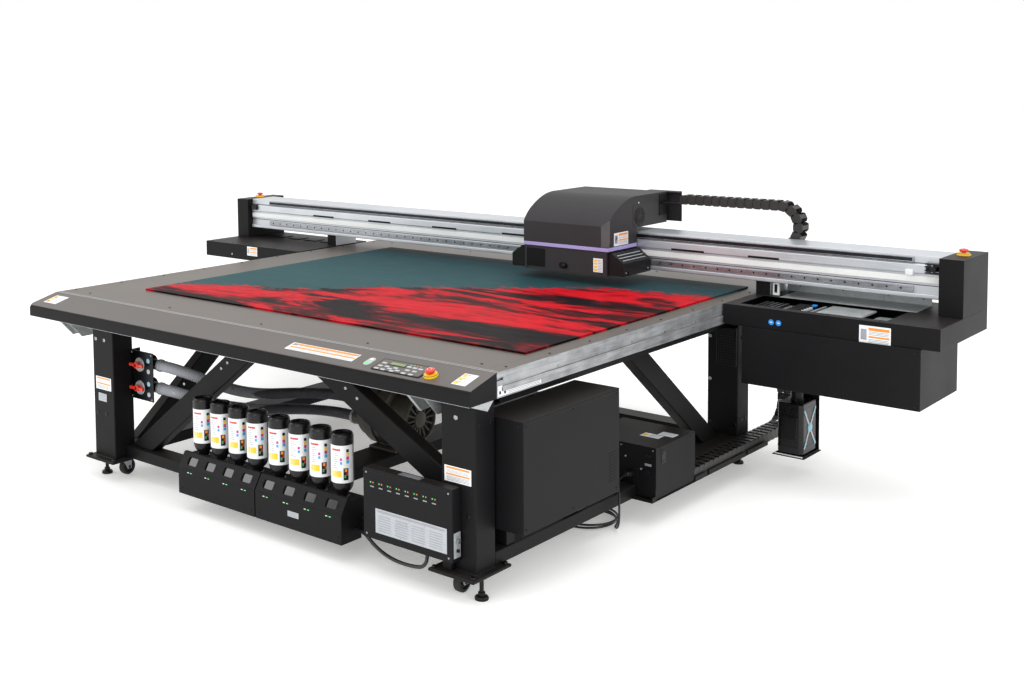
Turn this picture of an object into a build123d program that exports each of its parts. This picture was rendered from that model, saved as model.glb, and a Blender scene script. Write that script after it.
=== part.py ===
from build123d import *
import math
import os

# Flatbed UV printer: a fixed suction bed on a steel frame, a travelling gantry with a print carriage,
# an ink station and a control panel at the front, and the electrics on the right.
# Millimetres. X runs to the right along the front edge, Y to the back, Z up.
# The origin is on the floor under the middle of the machine.

# ---- overall sizes ----
gantry_width = 4400
machine_depth = 2490
bed_height = 795
front = -machine_depth / 2
back = machine_depth / 2

# ---- bed ----
bed_left = -1370
bed_right = 1270
side_rail_width = 56
side_rail_bottom = 702
bed_underside = 735
panel_back = -1092
panel_front_height = 756
sheet = 3
board_left = -1054
board_right = 1183
board_front = -802
board_back = 996
board_thickness = 8

# ---- frame ----
leg_width = 150
leg_depth = 110
leg_top = 700
leg_left = -950
leg_right = 1250
leg_front = -1190
leg_rear = 760
base_bottom = 100
base_top = 150
base_plate = 12
top_beam_bottom = 655

# ---- gantry ----
tray_front = 558
tray_bottom = 708
tray_top = 798
tray_right_start = 1280
tray_left_start = -1380
cover_front = 823
cover_back = 1136
cover_width = 98
cover_top = 1038
beam_front = 863
beam_back = 1045
beam_bottom = 860
beam_wall = 8
rail_stand = 13
lower_cover_left = 1370
lower_cover_right = 2129
lower_cover_front = 549
lower_cover_back = 991
lower_cover_bottom = 458

# ---- carriage ----
carriage_left = 194
carriage_right = 676
carriage_front = 580
carriage_bottom = 850
carriage_top = 1215
carriage_split = 987
carriage_fold = 1089
carriage_back = 1136
plate_back = 1180
carriage_bridge = 1060

# ---- energy chains ----
chain_height = 46
carriage_chain_front = 1058
carriage_chain_back = 1128
carriage_bend_x = 1299
carriage_bend_radius = 118
carriage_chain_top = 1208
carriage_chain_fixed = -160
bracket_end = 793
floor_chain_base = 108
floor_bend_y = 1060
floor_bend_radius = 148
floor_chain_fixed = 200
lane_left = 1256
lane_width = 37
lane_step = 41

# ---- electrics ----
cabinet = (1160, 1362, -1067, -442, 229, 630)
power_box = (995, 1340, -129, 193, base_top, 317)
chain_tray_left = leg_right
chain_tray_right = 1342
chain_tray_front = -160
chain_tray_back = 880

# ---- ink station ----
rack_front = -1242
rack_back = -1132
rack_deep = -1112
rack_bottom = 75
bottle_row = -1160
bottle_radius = 44
bottle_bottom = 176
bottle_top = 479
rack_spans = ((-290, 180), (186, 657))
bottle_places = (-217, -106, 6, 117, 245, 360, 475, 590)

# ---- casters, feet and buttons ----
wheel_radius = 37.5
wheel_width = 30
wheel_offset = 20
floor_gap = 1.5
corner_places = {
    "front_right": ((1149, -1162), (1239, -1147)),
    "front_left": ((-852, -1109), (-941, -1136)),
    "rear_right": ((1125, 825), (1215, 840)),
    "rear_left": ((-852, 825), (-941, 840)),
}
button_gap = 0.4
estop_travel_gap = 5


def block(x0, x1, y0, y1, z0, z1):
    return Pos((x0 + x1) / 2, (y0 + y1) / 2, (z0 + z1) / 2) * Box(x1 - x0, y1 - y0, z1 - z0)


def shell(x0, x1, y0, y1, z0, z1, wall):
    # a closed sheet-metal box with an empty inside
    inside = block(x0 + wall, x1 - wall, y0 + wall, y1 - wall, z0 + wall, z1 - wall)
    return block(x0, x1, y0, y1, z0, z1) - inside


def round_bar(radius, start, end):
    # a cylinder from one point to another
    direction = Vector(*end) - Vector(*start)
    plane = Plane(origin=start, z_dir=direction)
    return extrude(plane * Circle(radius), amount=direction.length)


def prism_along_x(outline, x0, x1):
    # outline is in (y, z)
    return extrude(Plane.YZ.offset(x0) * make_face(Polyline(*outline, close=True)), amount=x1 - x0)


def prism_along_y(outline, y0, y1):
    # outline is in (x, z)
    plane = Plane(origin=(0, y0, 0), x_dir=(1, 0, 0), z_dir=(0, -1, 0))
    return extrude(plane * make_face(Polyline(*outline, close=True)), amount=y0 - y1)


def vertical_edges_rounded(solid, radius):
    return fillet(solid.edges().filter_by(Axis.Z), radius)


def hollow_bar(x0, x1, y0, y1, z0, z1, wall, axis):
    # a rectangular tube, open at both ends of its axis
    cut = {
        "x": block(x0 - 1, x1 + 1, y0 + wall, y1 - wall, z0 + wall, z1 - wall),
        "y": block(x0 + wall, x1 - wall, y0 - 1, y1 + 1, z0 + wall, z1 - wall),
        "z": block(x0 + wall, x1 - wall, y0 + wall, y1 - wall, z0 - 1, z1 + 1),
    }[axis]
    return block(x0, x1, y0, y1, z0, z1) - cut


# ---------------------------------------------------------------- frame

def leg(x0, y0, plate):
    post = hollow_bar(x0, x0 + leg_width, y0, y0 + leg_depth, base_bottom, leg_top, 5, "z")
    post += block(x0, x0 + leg_width, y0, y0 + leg_depth, leg_top - 6, leg_top)
    foot = block(*plate, base_bottom - base_plate, base_bottom)
    return post + foot


def legs():
    right = leg_right - leg_width
    return [
        leg(right, leg_front, (1075, 1278, -1243, -1022)),
        leg(leg_left, leg_front, (-980, -775, -1225, -1040)),
        leg(right, leg_rear, (1080, 1270, 740, 910)),
        leg(leg_left, leg_rear, (-980, -780, 740, 910)),
    ]


def base_beams():
    # flat box beams between the legs; the middle one carries the blower
    z0, z1 = base_bottom, base_top
    side_start, side_end = leg_front + leg_depth, leg_rear
    inner_left, inner_right = leg_left + leg_width, leg_right - leg_width
    return [
        hollow_bar(inner_right, leg_right, side_start, side_end, z0, z1, 4, "y"),
        hollow_bar(leg_left, inner_left, side_start, side_end, z0, z1, 4, "y"),
        hollow_bar(inner_left, inner_right, -1130, -1040, z0, z1, 4, "x"),
        hollow_bar(inner_left, inner_right, leg_rear + 5, leg_rear + 105, z0, z1, 4, "x"),
        hollow_bar(60, 230, -1040, leg_rear + 5, z0, z1, 4, "y"),
    ]


def top_beams():
    z0, z1 = top_beam_bottom, bed_underside
    inner_left, inner_right = leg_left + 20, bed_right - side_rail_width - 4
    beams = [
        hollow_bar(leg_left, inner_right, -1080, -990, z0, z1, 4, "x"),
        hollow_bar(leg_left, inner_right, 870, 960, z0, z1, 4, "x"),
        hollow_bar(120, 200, -990, 870, z0, z1, 4, "y"),
    ]
    for x0 in (inner_left, inner_right - 80):
        beams.append(hollow_bar(x0, x0 + 80, -990, leg_rear, z0, z1, 4, "y"))
        beams.append(hollow_bar(x0, x0 + 80, leg_rear, 870, leg_top, z1, 4, "y"))
    return beams


def slanted_bar(low, high, width):
    # outline of a brace cut level at both ends; low and high are (along, height) of its centre line
    half = width / 2 / math.sin(math.atan2(high[1] - low[1], abs(high[0] - low[0])))
    return [
        (low[0] - half, low[1]),
        (low[0] + half, low[1]),
        (high[0] + half, high[1]),
        (high[0] - half, high[1]),
    ]


def braces():
    front_y = (-1105, -1045)
    left_front = prism_along_y(slanted_bar((-720, base_top), (-60, top_beam_bottom), 92), *front_y)
    into_leg = [(400, top_beam_bottom), (590, top_beam_bottom), (leg_right - leg_width, 380),
                (leg_right - leg_width, 277)]
    right_front = prism_along_y(into_leg, *front_y)
    bars = [left_front, right_front]
    side = slanted_bar((640, base_top), (0, top_beam_bottom), 92)
    bars.append(prism_along_x(side, 1122, 1182))
    bars.append(prism_along_x(side, leg_left + 30, leg_left + 90))
    forward = slanted_bar((-950, base_top), (-330, top_beam_bottom), 92)
    bars.append(prism_along_x(forward, leg_left + 30, leg_left + 90))
    return bars


# ---------------------------------------------------------------- bed and front panel

def bed_table():
    left, right = bed_left + side_rail_width, bed_right - side_rail_width
    plate = shell(left, right, panel_back, back - 25, bed_underside, bed_height, 6)
    rear_channel = block(left, right, back - 25, back, side_rail_bottom, bed_height)
    return plate + rear_channel


def bed_side_rails():
    # extruded edge rails; the outer lip is what the gantry runs on
    rails = []
    for outer, inward in ((bed_left, 1), (bed_right, -1)):
        x0, x1 = sorted((outer, outer + inward * side_rail_width))
        body = block(x0, x1, panel_back, back, side_rail_bottom, bed_height)
        lip0, lip1 = sorted((outer, outer - inward * 6))
        lip = block(lip0, lip1, panel_back + 30, back - 5, 724, 744)
        groove0, groove1 = sorted((outer, outer + inward * 8))
        groove = block(groove0, groove1, panel_back - 1, back + 1, 764, 772)
        rails.append(body + lip - groove)
    return rails


panel_slope = math.atan2(bed_height - panel_front_height, panel_back - front)


def panel_plane(x, y):
    # a plane on the sloped top of the front panel
    height = bed_height - (panel_back - y) * math.tan(panel_slope)
    return Plane(origin=(x, y, height), x_dir=(1, 0, 0),
                 z_dir=(0, -math.sin(panel_slope), math.cos(panel_slope)))


power_place = (752, -1176)
power_size = (60, 32)
keypad_place = (910, -1180)
keypad_size = (230, 86)
estop_place = (1058, -1192)


def front_panel():
    outer = [
        (panel_back, bed_height),
        (front, panel_front_height),
        (front, side_rail_bottom),
        (panel_back, side_rail_bottom),
    ]
    inner = [
        (panel_back - sheet, bed_height - sheet - 2),
        (front + sheet, panel_front_height - sheet),
        (front + sheet, side_rail_bottom - 1),
        (panel_back - sheet, side_rail_bottom - 1),
    ]
    body = prism_along_x(outer, bed_left, bed_right)
    body -= prism_along_x(inner, bed_left + sheet, bed_right - sheet)
    keypad = extrude(panel_plane(*keypad_place) * RectangleRounded(*keypad_size, 6), amount=2)
    estop_base = extrude(panel_plane(*estop_place) * Circle(27), amount=10)
    body += [keypad, estop_base]
    body -= extrude(panel_plane(*estop_place) * Circle(9), amount=14, both=True)
    body -= extrude(panel_plane(*power_place) * SlotOverall(*power_size, rotation=90), amount=14, both=True)
    return body


def power_button():
    length, width = power_size
    outline = SlotOverall(length - 2 * button_gap, width - 2 * button_gap, rotation=90)
    return extrude(panel_plane(*power_place).offset(-9) * outline, amount=13)


def mushroom(plane):
    # an emergency stop head on its stem, the stem running down into its base
    stem = extrude(plane.offset(-2) * Circle(9 - button_gap), amount=12 + estop_travel_gap)
    head = extrude(plane.offset(10 + estop_travel_gap) * Circle(19), amount=13)
    head = fillet(head.edges().filter_by(GeomType.CIRCLE), 4)
    return stem + head


bracket_places = ((980, 14), (1062, 0), (-1142, 14), (-1065, 0))
bracket_low = 628


def front_brackets():
    # sheet gussets from the panel's lower front edge back to the frame; the outer ones have a folded lip
    brackets = []
    outline = [
        (-1240, side_rail_bottom),
        (-1168, bracket_low),
        (-1110, bracket_low),
        (-1080, 660),
        (-1080, side_rail_bottom),
    ]
    lip_outline = [outline[0], outline[1], (-1164, bracket_low + 2), (-1236, side_rail_bottom)]
    for x, lip in bracket_places:
        gusset = prism_along_x(outline, x, x + sheet)
        if lip:
            gusset += prism_along_x(lip_outline, x, x + lip)
        brackets.append(gusset)
    end_outline = [(-1241, side_rail_bottom), (-1139, 667), (-1102, side_rail_bottom)]
    brackets.append(prism_along_x(end_outline, bed_right - 8, bed_right - 8 + sheet))
    return brackets


def printed_board():
    return block(board_left, board_right, board_front, board_back, bed_height, bed_height + board_thickness)


# ---------------------------------------------------------------- ink station

def ink_rack(x0, x1, places):
    outline = [
        (rack_front, rack_bottom),
        (rack_front, 186),
        (-1206, 246),
        (-1194, 246),
        (-1187, 232),
        (rack_deep, 232),
        (rack_deep, base_top + 6),
        (rack_back, base_top + 6),
        (rack_back, rack_bottom),
    ]
    body = prism_along_x(outline, x0, x1)
    for x in places:
        body -= round_bar(22, (x, bottle_row, 160), (x, bottle_row, 240))
        slope = Plane(origin=(x, -1224, 216), x_dir=(1, 0, 0), z_dir=(0, -60, 36))
        body -= extrude(slope * RectangleRounded(56, 34, 6), amount=8, both=True)
    return body


def ink_bottle(x):
    profile = [
        (0, bottle_bottom),
        (19, bottle_bottom),
        (19, 240),
        (24, 250),
        (36, 262),
        (42, 276),
        (bottle_radius, 290),
        (bottle_radius, bottle_top - 8),
        (bottle_radius - 6, bottle_top),
        (bottle_radius - 14, bottle_top),
        (bottle_radius - 17, bottle_top - 5),
        (0, bottle_top - 5),
    ]
    face = make_face(Plane.XZ * Polyline(*profile, close=True))
    return Pos(x, bottle_row, 0) * revolve(face, Axis.Z)


def ink_controller():
    body = shell(771, 1186, -1241, -1192, 140, 400, 2)
    feet = [block(x, x + 40, -1215, -1192, 100, 140) for x in (800, 1120)]
    return [body, feet[1]]


# ---------------------------------------------------------------- suction

valve_heights = (530, 425)
valve_x = -735


def valve_panel():
    plate = block(-800, -640, -1092, -1088, 370, 592)
    tie = block(-800, -796, -1088, -1040, 370, 592)
    parts = plate + tie
    for z in valve_heights:
        parts += round_bar(32, (valve_x, -1088, z), (valve_x, -1012, z))
        parts += round_bar(24, (valve_x, -1045, z), (valve_x + 85, -1045, z))
        parts -= round_bar(8, (valve_x, -1095, z), (valve_x, -1060, z))
    return parts


def valve_handle(z):
    stem = round_bar(8 - button_gap, (valve_x, -1104, z), (valve_x, -1062, z))
    hub = round_bar(15, (valve_x, -1118, z), (valve_x, -1094, z))
    wing = extrude(Plane(origin=(valve_x, -1104, z), x_dir=(1, 0, 0), z_dir=(0, -1, 0))
                   * SlotOverall(96, 18), amount=14)
    return stem + hub + wing


blower_y = -330
blower_z = 292
blower_radius = 140


def blower():
    housing = round_bar(blower_radius, (40, blower_y, blower_z), (175, blower_y, blower_z))
    motor = round_bar(108, (175, blower_y, blower_z), (285, blower_y, blower_z))
    back_plate = round_bar(118, (-5, blower_y, blower_z), (40, blower_y, blower_z))
    foot = block(65, 225, blower_y - 110, blower_y + 110, base_top, base_top + 14)
    saddle = block(85, 205, blower_y - 70, blower_y + 70, base_top + 14, 240)
    parts = housing + motor + back_plate + foot + saddle
    for z in blower_ports:
        parts += round_bar(33, (-70, blower_y - 62, z), (20, blower_y - 62, z))
    return parts


blower_ports = (345, 262)
hose_diameter = 50
hose_routes = {
    "suction_hose_upper": [
        (valve_x + 85, -1045, valve_heights[0]),
        (-567, -1045, valve_heights[0]),
        (-489, -1017, 512),
        (-427, -961, 478),
        (-388, -888, 440),
        (-371, -807, 408),
        (-362, -724, 384),
        (-348, -642, 368),
        (-331, -561, 358),
        (-292, -484, 351),
        (-230, -424, 347),
        (-152, blower_y - 62, blower_ports[0]),
        (-70, blower_y - 62, blower_ports[0]),
    ],
    "suction_hose_lower": [
        (valve_x + 85, -1045, valve_heights[1]),
        (-567, -1045, valve_heights[1]),
        (-488, -1018, 410),
        (-428, -962, 384),
        (-390, -889, 356),
        (-374, -808, 332),
        (-364, -725, 312),
        (-349, -643, 296),
        (-330, -562, 284),
        (-291, -485, 274),
        (-230, -424, 266),
        (-152, blower_y - 62, blower_ports[1]),
        (-70, blower_y - 62, blower_ports[1]),
    ],
}


def bend_radii(points):
    # each bend is as large as its two runs allow
    radii = []
    for before, here, after in zip(points, points[1:], points[2:]):
        first = Vector(*here) - Vector(*before)
        second = Vector(*after) - Vector(*here)
        turn = math.radians(first.get_angle(second))
        radii.append(0.45 * min(first.length, second.length) / math.tan(turn / 2))
    return radii


def cord_tube(name, points, diameter):
    radii = bend_radii(points)
    path = FilletPolyline(*points, radius=radii)
    start = Plane(origin=points[0], z_dir=Vector(*points[1]) - Vector(*points[0]))
    tube = sweep(start * Circle(diameter / 2), path)
    section = math.pi * diameter ** 2 / 4
    print(name, "length", round(path.length), "tightest bend", round(min(radii)),
          "volume ratio", round(tube.volume / (section * path.length), 4))
    return tube


# ---------------------------------------------------------------- electrics

def electrics_cabinet():
    x0, x1, y0, y1, z0, z1 = cabinet
    stands = [block(x0 + 10, leg_right - 5, y, y + 50, base_top, z0) for y in (y0 + 60, y1 - 110)]
    return [shell(*cabinet, 2)] + stands


inlet_x = 1231
inlet_z = 200
switch_y = -70
switch_z = 270


def power_box_body():
    x0, x1, y0, y1, z0, z1 = power_box
    body = shell(x0, x1, y0, y1, z0, z1, 2)
    skirt = block(leg_right + 1, x1 - 2, y0, y1, 106, z0)
    body += skirt
    body += block(inlet_x - 26, inlet_x + 26, y0 - 3, y0, inlet_z - 18, inlet_z + 18)
    body -= block(x1 - 12, x1 + 1, switch_y - 14, switch_y + 14, switch_z - 22, switch_z + 22)
    body += block(x1 - 14, x1 - 12, switch_y - 14, switch_y + 14, switch_z - 22, switch_z + 22)
    return body


def power_switch():
    # rocker, slightly hollow on its outer face
    x1 = power_box[1]
    outline = [
        (x1 - 6, switch_z - 19),
        (x1 + 3, switch_z - 19),
        (x1 + 0.5, switch_z),
        (x1 + 3, switch_z + 19),
        (x1 - 6, switch_z + 19),
        (x1 - 9, switch_z),
    ]
    pivot = round_bar(2.5, (x1 - 8, switch_y - 13.5, switch_z), (x1 - 8, switch_y + 13.5, switch_z))
    return prism_along_y(outline, switch_y - 12, switch_y + 12) + pivot


cord_diameter = 9
coil_centre = (1095, -250)
coil_radius = 120
coil_band = 18
connector_end = power_box[2] - 3 - 58
cord_route = [
    (inlet_x, connector_end, inlet_z),
    (inlet_x, connector_end - 38, inlet_z),
    (inlet_x + 20, connector_end - 78, inlet_z - 16),
    (inlet_x + 42, connector_end - 108, inlet_z - 56),
    (inlet_x + 50, connector_end - 120, inlet_z - 106),
    (inlet_x + 46, connector_end - 116, inlet_z - 152),
    (inlet_x + 28, connector_end - 98, inlet_z - 184),
    (inlet_x + 2, connector_end - 76, inlet_z - 191),
]


def power_plugs():
    y0 = power_box[2] - 3
    connector = block(inlet_x - 14, inlet_x + 14, y0 - 34, y0, inlet_z - 10, inlet_z + 10)
    boot = Solid.make_cone(8, 5.5, 24, Plane(origin=(inlet_x, y0 - 34, inlet_z), z_dir=(0, -1, 0)))
    # the far plug lies beside the coil, where the last turn runs out
    plug_x, plug_y = coil_centre[0] - 110, coil_centre[1] + coil_radius
    body = block(plug_x - 44, plug_x, plug_y - 20, plug_y + 20, 0.2, 30.2)
    pins = []
    for y in (plug_y - 9.5, plug_y + 9.5):
        pins.append(round_bar(2.4, (plug_x - 62, y, 15), (plug_x - 44, y, 15)))
    return [connector + boot, body + pins]


def power_cord_coil():
    sitting = (Align.CENTER, Align.CENTER, Align.MIN)
    ring = Pos(*coil_centre, 0) * Cylinder(coil_radius + coil_band, 3 * cord_diameter, align=sitting)
    ring -= Pos(*coil_centre, 0) * Cylinder(coil_radius - coil_band, 80)
    return Pos(0, 0, 0.2) * ring


signal_route = [
    (657, -1165, 118),
    (702, -1165, 118),
    (752, -1178, 92),
    (815, -1190, 72),
    (885, -1198, 62),
    (955, -1203, 64),
    (1004, -1206, 71),
    (1024, -1208, 80),
    (1040, -1210, 96),
    (1048, -1212, 116),
    (1048, -1212, 140),
]


# ---------------------------------------------------------------- gantry

def gantry_beam():
    beam = hollow_bar(-2101, 2101, beam_front, beam_back, beam_bottom, cover_top, beam_wall, "x")
    for z in (1010, 885):
        beam += block(-1935, 1990, beam_front - rail_stand, beam_front, z, z + 23)
    for x0 in (1282, -1451):
        beam += block(x0, x0 + 69, beam_front + 7, beam_back, tray_top, beam_bottom)
    trough = block(-200, 1900, beam_back, cover_back, 962, 966)
    trough += block(-200, 1900, cover_back - 3, cover_back, 966, 1000)
    return beam + trough


def end_covers():
    covers = []
    for x0 in (gantry_width / 2 - cover_width, -gantry_width / 2):
        cover = shell(x0, x0 + cover_width, cover_front, cover_back, tray_top, cover_top, 2)
        centre = (x0 + cover_width / 2, estop_gantry_y)
        cover += Pos(*centre, cover_top + 5) * Cylinder(27, 10)
        cover -= Pos(*centre, cover_top) * Cylinder(9, 30)
        covers.append(cover)
    return covers


estop_gantry_y = 975
recess = (1335, 1975, 604, 846)


def side_trays():
    half = gantry_width / 2
    right = shell(tray_right_start, half, tray_front, cover_back, tray_bottom, tray_top, 2)
    right -= block(*recess, tray_bottom + 12, tray_top + 1)
    right += block(*recess, tray_bottom + 10, tray_bottom + 12)
    left = shell(-half, tray_left_start, tray_front, cover_back, tray_bottom, tray_top, 2)
    # saddles that hook under the bed's edge rails
    right += block(1286, 1304, 850, 1100, 660, tray_bottom)
    right += block(1256, 1286, 850, 1100, 660, 698)
    left += block(-1404, -1386, 850, 1100, 660, tray_bottom)
    left += block(-1386, -1354, 850, 1100, 660, 698)
    return [right, left]


def lower_cover():
    box = shell(lower_cover_left, lower_cover_right, lower_cover_front, lower_cover_back,
                lower_cover_bottom, tray_bottom, 2)
    # a hanger under the box and the arm that carries the moving end of the floor chain
    hanger = block(lower_cover_left, lower_cover_left + 30, 940, 1132, 406, lower_cover_bottom)
    arm = block(1254, lower_cover_left, 1062, 1132, 406, 420)
    return [box, hanger, arm]


def station():
    x0, x1, y0, y1 = recess
    z0 = tray_bottom + 12
    parts = block(x0 + 8, x1 - 8, y0 + 8, y1 - 8, z0, z0 + 6)
    parts += block(x0 + 20, x0 + 150, y0 + 20, y1 - 20, z0 + 6, z0 + 62)
    parts += block(x0 + 175, x0 + 255, y0 + 40, y1 - 30, z0 + 6, z0 + 70)
    parts += block(x0 + 290, x0 + 300, y0 + 30, y1 - 24, z0 + 6, z0 + 66)
    parts += block(x0 + 330, x1 - 30, y0 + 24, y1 - 24, z0 + 6, z0 + 30)
    return parts


waste_x = (1398, 1546)
waste_y = (803, 990)


def waste_shelf():
    x0, x1 = waste_x
    y0, y1 = waste_y
    plate = block(x0, x1, y0, y1, 88, 92)
    pad = block(x0 + 8, x1 - 8, y0 + 8, y1 - 12, 92, 97)
    rear = block(x0 + 10, x1 - 10, y1 - 5, y1, 92, 440)
    top = block(x0 + 4, x1 - 4, y0 + 10, y1, 440, lower_cover_bottom)
    filler = block(x0 + 30, x1 - 30, y0 + 40, y1 - 5, 395, 440)
    return plate + pad + rear + top + filler


def waste_tank():
    x0, x1 = waste_x
    y0, y1 = waste_y
    body = block(x0 + 14, x1 - 14, y0 + 12, y1 - 16, 97.4, 330)
    body = vertical_edges_rounded(body, 16)
    grip = block(x0 + 10, x0 + 34, y0 + 50, y1 - 60, 190, 290)
    neck = round_bar(28, ((x0 + x1) / 2, (y0 + y1) / 2, 330), ((x0 + x1) / 2, (y0 + y1) / 2, 375))
    return body - grip + neck


# ---------------------------------------------------------------- carriage

def carriage_body():
    x0, x1 = carriage_left, carriage_right
    lower = shell(x0 + 2, x1 - 10, carriage_front + 6, 846, carriage_bottom, carriage_split - 18, 2)
    lower += block(x0, x1, carriage_front, 846, carriage_split - 18, carriage_split)
    bottom = [block(x0 + 40 + 105 * i, x0 + 120 + 105 * i, 640, 800, carriage_bottom - 5, carriage_bottom)
              for i in range(4)]
    bracket = block(x1, bracket_end, carriage_chain_front, carriage_chain_back, 1160, 1166)
    bracket += block(x1, x1 + 4, carriage_chain_front, carriage_chain_back, 1100, 1206)
    return lower + bottom, bracket


def cover_section(inset):
    # upright front, an arch to a flat top, and a bridge over the beam, all moved inwards by inset
    y0, y1, arch_end = carriage_front + inset, carriage_back - inset, 846
    z0, z1, step = carriage_split + inset, carriage_top - inset, carriage_bridge + inset
    front_edge = Polyline((arch_end - inset, z0), (y0, z0), (y0, carriage_fold))
    arch = Spline((y0, carriage_fold), (672 + inset * 0.7, 1168 - inset * 0.7), (arch_end, z1),
                  tangents=((0.52, 0.85), (1, 0)))
    rest = Polyline((arch_end, z1), (y1, z1), (y1, step), (arch_end - inset, step), (arch_end - inset, z0))
    return make_face(Plane.YZ.offset(carriage_left + inset) * Curve([front_edge, arch, rest]))


def carriage_cover():
    width = carriage_right - carriage_left
    outer = extrude(cover_section(0), amount=width, dir=(1, 0, 0))
    inner = extrude(cover_section(sheet), amount=width - 2 * sheet, dir=(1, 0, 0))
    # a folded plate that hangs down behind the beam
    shelf = block(560, 737, carriage_back, plate_back, carriage_top - 6, carriage_top)
    hanging = block(640, 737, plate_back - 4, plate_back, 1062, carriage_top - 6)
    return outer - inner + shelf + hanging


lamp_width = 86
lamp_bottom = 856
lamp_shoulder = 918
lamp_top = 962


def uv_lamps():
    # the outer top edge slopes and is slotted
    lamps = []
    slope = math.atan2(lamp_top - lamp_shoulder, lamp_width - 24)
    for inner, outward in ((carriage_right - 10, 1), (carriage_left + 2, -1)):
        outer, ledge = inner + outward * lamp_width, inner + outward * 24
        outline = [
            (inner, lamp_bottom),
            (outer, lamp_bottom),
            (outer, lamp_shoulder),
            (ledge, lamp_top),
            (inner, lamp_top),
        ]
        lamp = prism_along_y(outline, 598, 846)
        middle = ((outer + ledge) / 2, 722, (lamp_top + lamp_shoulder) / 2)
        facing = (outward * math.sin(slope), 0, math.cos(slope))
        vent = Plane(origin=middle, x_dir=(0, 1, 0), z_dir=facing)
        for shift in (-19, 0, 19):
            lamp -= vent * Pos(0, shift, 0) * Box(208, 11, 14)
        lamps.append(lamp)
    return lamps


# ---------------------------------------------------------------- energy chains

def half_ring(outer, inner, width, plane):
    ring = plane * (Circle(outer) - Circle(inner))
    keep = plane * Pos(outer, 0) * Rectangle(2 * outer, 2 * outer + 2)
    return extrude(ring & keep, amount=width)


def carriage_chain_bend():
    z = carriage_chain_top - carriage_bend_radius
    plane = Plane(origin=(carriage_bend_x, carriage_chain_back, z), x_dir=(1, 0, 0), z_dir=(0, -1, 0))
    width = carriage_chain_back - carriage_chain_front
    return half_ring(carriage_bend_radius, carriage_bend_radius - chain_height, width, plane)


def carriage_chain_upper():
    return block(bracket_end + 1, carriage_bend_x, carriage_chain_front, carriage_chain_back,
                 carriage_chain_top - chain_height, carriage_chain_top)


def carriage_chain_lower():
    z0 = carriage_chain_top - 2 * carriage_bend_radius
    return block(carriage_chain_fixed, carriage_bend_x, carriage_chain_front, carriage_chain_back,
                 z0, z0 + chain_height)


def lanes():
    return [(lane_left + i * lane_step, lane_left + i * lane_step + lane_width) for i in range(2)]


def floor_chain_bend():
    z = floor_chain_base + floor_bend_radius
    bends = []
    for x0, x1 in lanes():
        plane = Plane(origin=(x0, floor_bend_y, z), x_dir=(0, 1, 0), z_dir=(1, 0, 0))
        bends.append(half_ring(floor_bend_radius, floor_bend_radius - chain_height, x1 - x0, plane))
    return bends


def floor_chain_lower():
    z0 = floor_chain_base
    return [block(x0, x1, floor_chain_fixed, floor_bend_y, z0, z0 + chain_height) for x0, x1 in lanes()]


def chain_tray():
    # folded tray beside the base beam, notched along its outer edge
    x0, x1 = chain_tray_left, chain_tray_right
    y0, y1 = chain_tray_front, chain_tray_back
    tray = block(x0, x1, y0, y1, base_bottom, base_bottom + 3)
    lip = block(x1 - 2.5, x1, y0, y1, base_bottom + 3, base_bottom + 22)
    for y in (y0 + 60, 300, 660):
        lip -= block(x1 - 6, x1 + 1, y, y + 14, base_bottom - 1, base_bottom + 30)
    lip -= block(x1 - 6, x1 + 1, power_box[2] - 1, power_box[3] + 1, base_bottom + 3, base_bottom + 30)
    return tray + lip


# ---------------------------------------------------------------- casters and feet

def caster_fork(place):
    x, y = place
    axle_z = wheel_radius + floor_gap
    plate_top = base_bottom - base_plate - 0.4
    plate = round_bar(26, (x, y, 79), (x, y, plate_top))
    bridge = block(x - 22, x + 22, y - 20, y + wheel_offset + 14, 79.5, 84)
    fork = plate + bridge
    for side in (-1, 1):
        inner = side * (wheel_width / 2 + 1)
        outer = inner + side * 3
        x0, x1 = sorted((x + inner, x + outer))
        cheek = [(y - 18, 82), (y + 32, 82), (y + wheel_offset + 11, axle_z - 8), (y + wheel_offset - 11, axle_z - 8)]
        fork += prism_along_x(cheek, x0, x1)
    axle_y = y + wheel_offset
    return fork + round_bar(5, (x - 21, axle_y, axle_z), (x + 21, axle_y, axle_z))


def caster_wheel(place):
    x, y = place
    axle_y = y + wheel_offset
    axle_z = wheel_radius + floor_gap
    half = wheel_width / 2
    wheel = round_bar(wheel_radius, (x - half, axle_y, axle_z), (x + half, axle_y, axle_z))
    wheel = fillet(wheel.edges().filter_by(GeomType.CIRCLE), 5)
    return wheel - round_bar(5.05, (x - half - 1, axle_y, axle_z), (x + half + 1, axle_y, axle_z))


def levelling_feet():
    feet = []
    plate_bottom = base_bottom - base_plate
    for _, (x, y) in corner_places.values():
        pad = Pos(x, y, 6) * Cylinder(25, 12)
        pad = fillet(pad.edges().filter_by(GeomType.CIRCLE).sort_by(Axis.Z)[-1], 4)
        stem = round_bar(8, (x, y, 12), (x, y, plate_bottom))
        collar = round_bar(13, (x, y, 12), (x, y, 26))
        nut = extrude(Plane(origin=(x, y, plate_bottom - 12)) * RegularPolygon(14, 6), amount=12)
        feet.append(pad + stem + collar + nut)
    return feet


# ---------------------------------------------------------------- write the parts

def save(name, shape):
    solids = []
    for item in shape if isinstance(shape, (list, tuple, ShapeList)) else [shape]:
        solids.extend(item.solids())
    whole = solids[0] if len(solids) == 1 else Compound(children=solids)
    export_step(whole, "parts/" + name + ".step")


def gantry_stop(x0):
    plane = Plane(origin=(x0 + cover_width / 2, estop_gantry_y, cover_top))
    return mushroom(plane)


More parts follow.
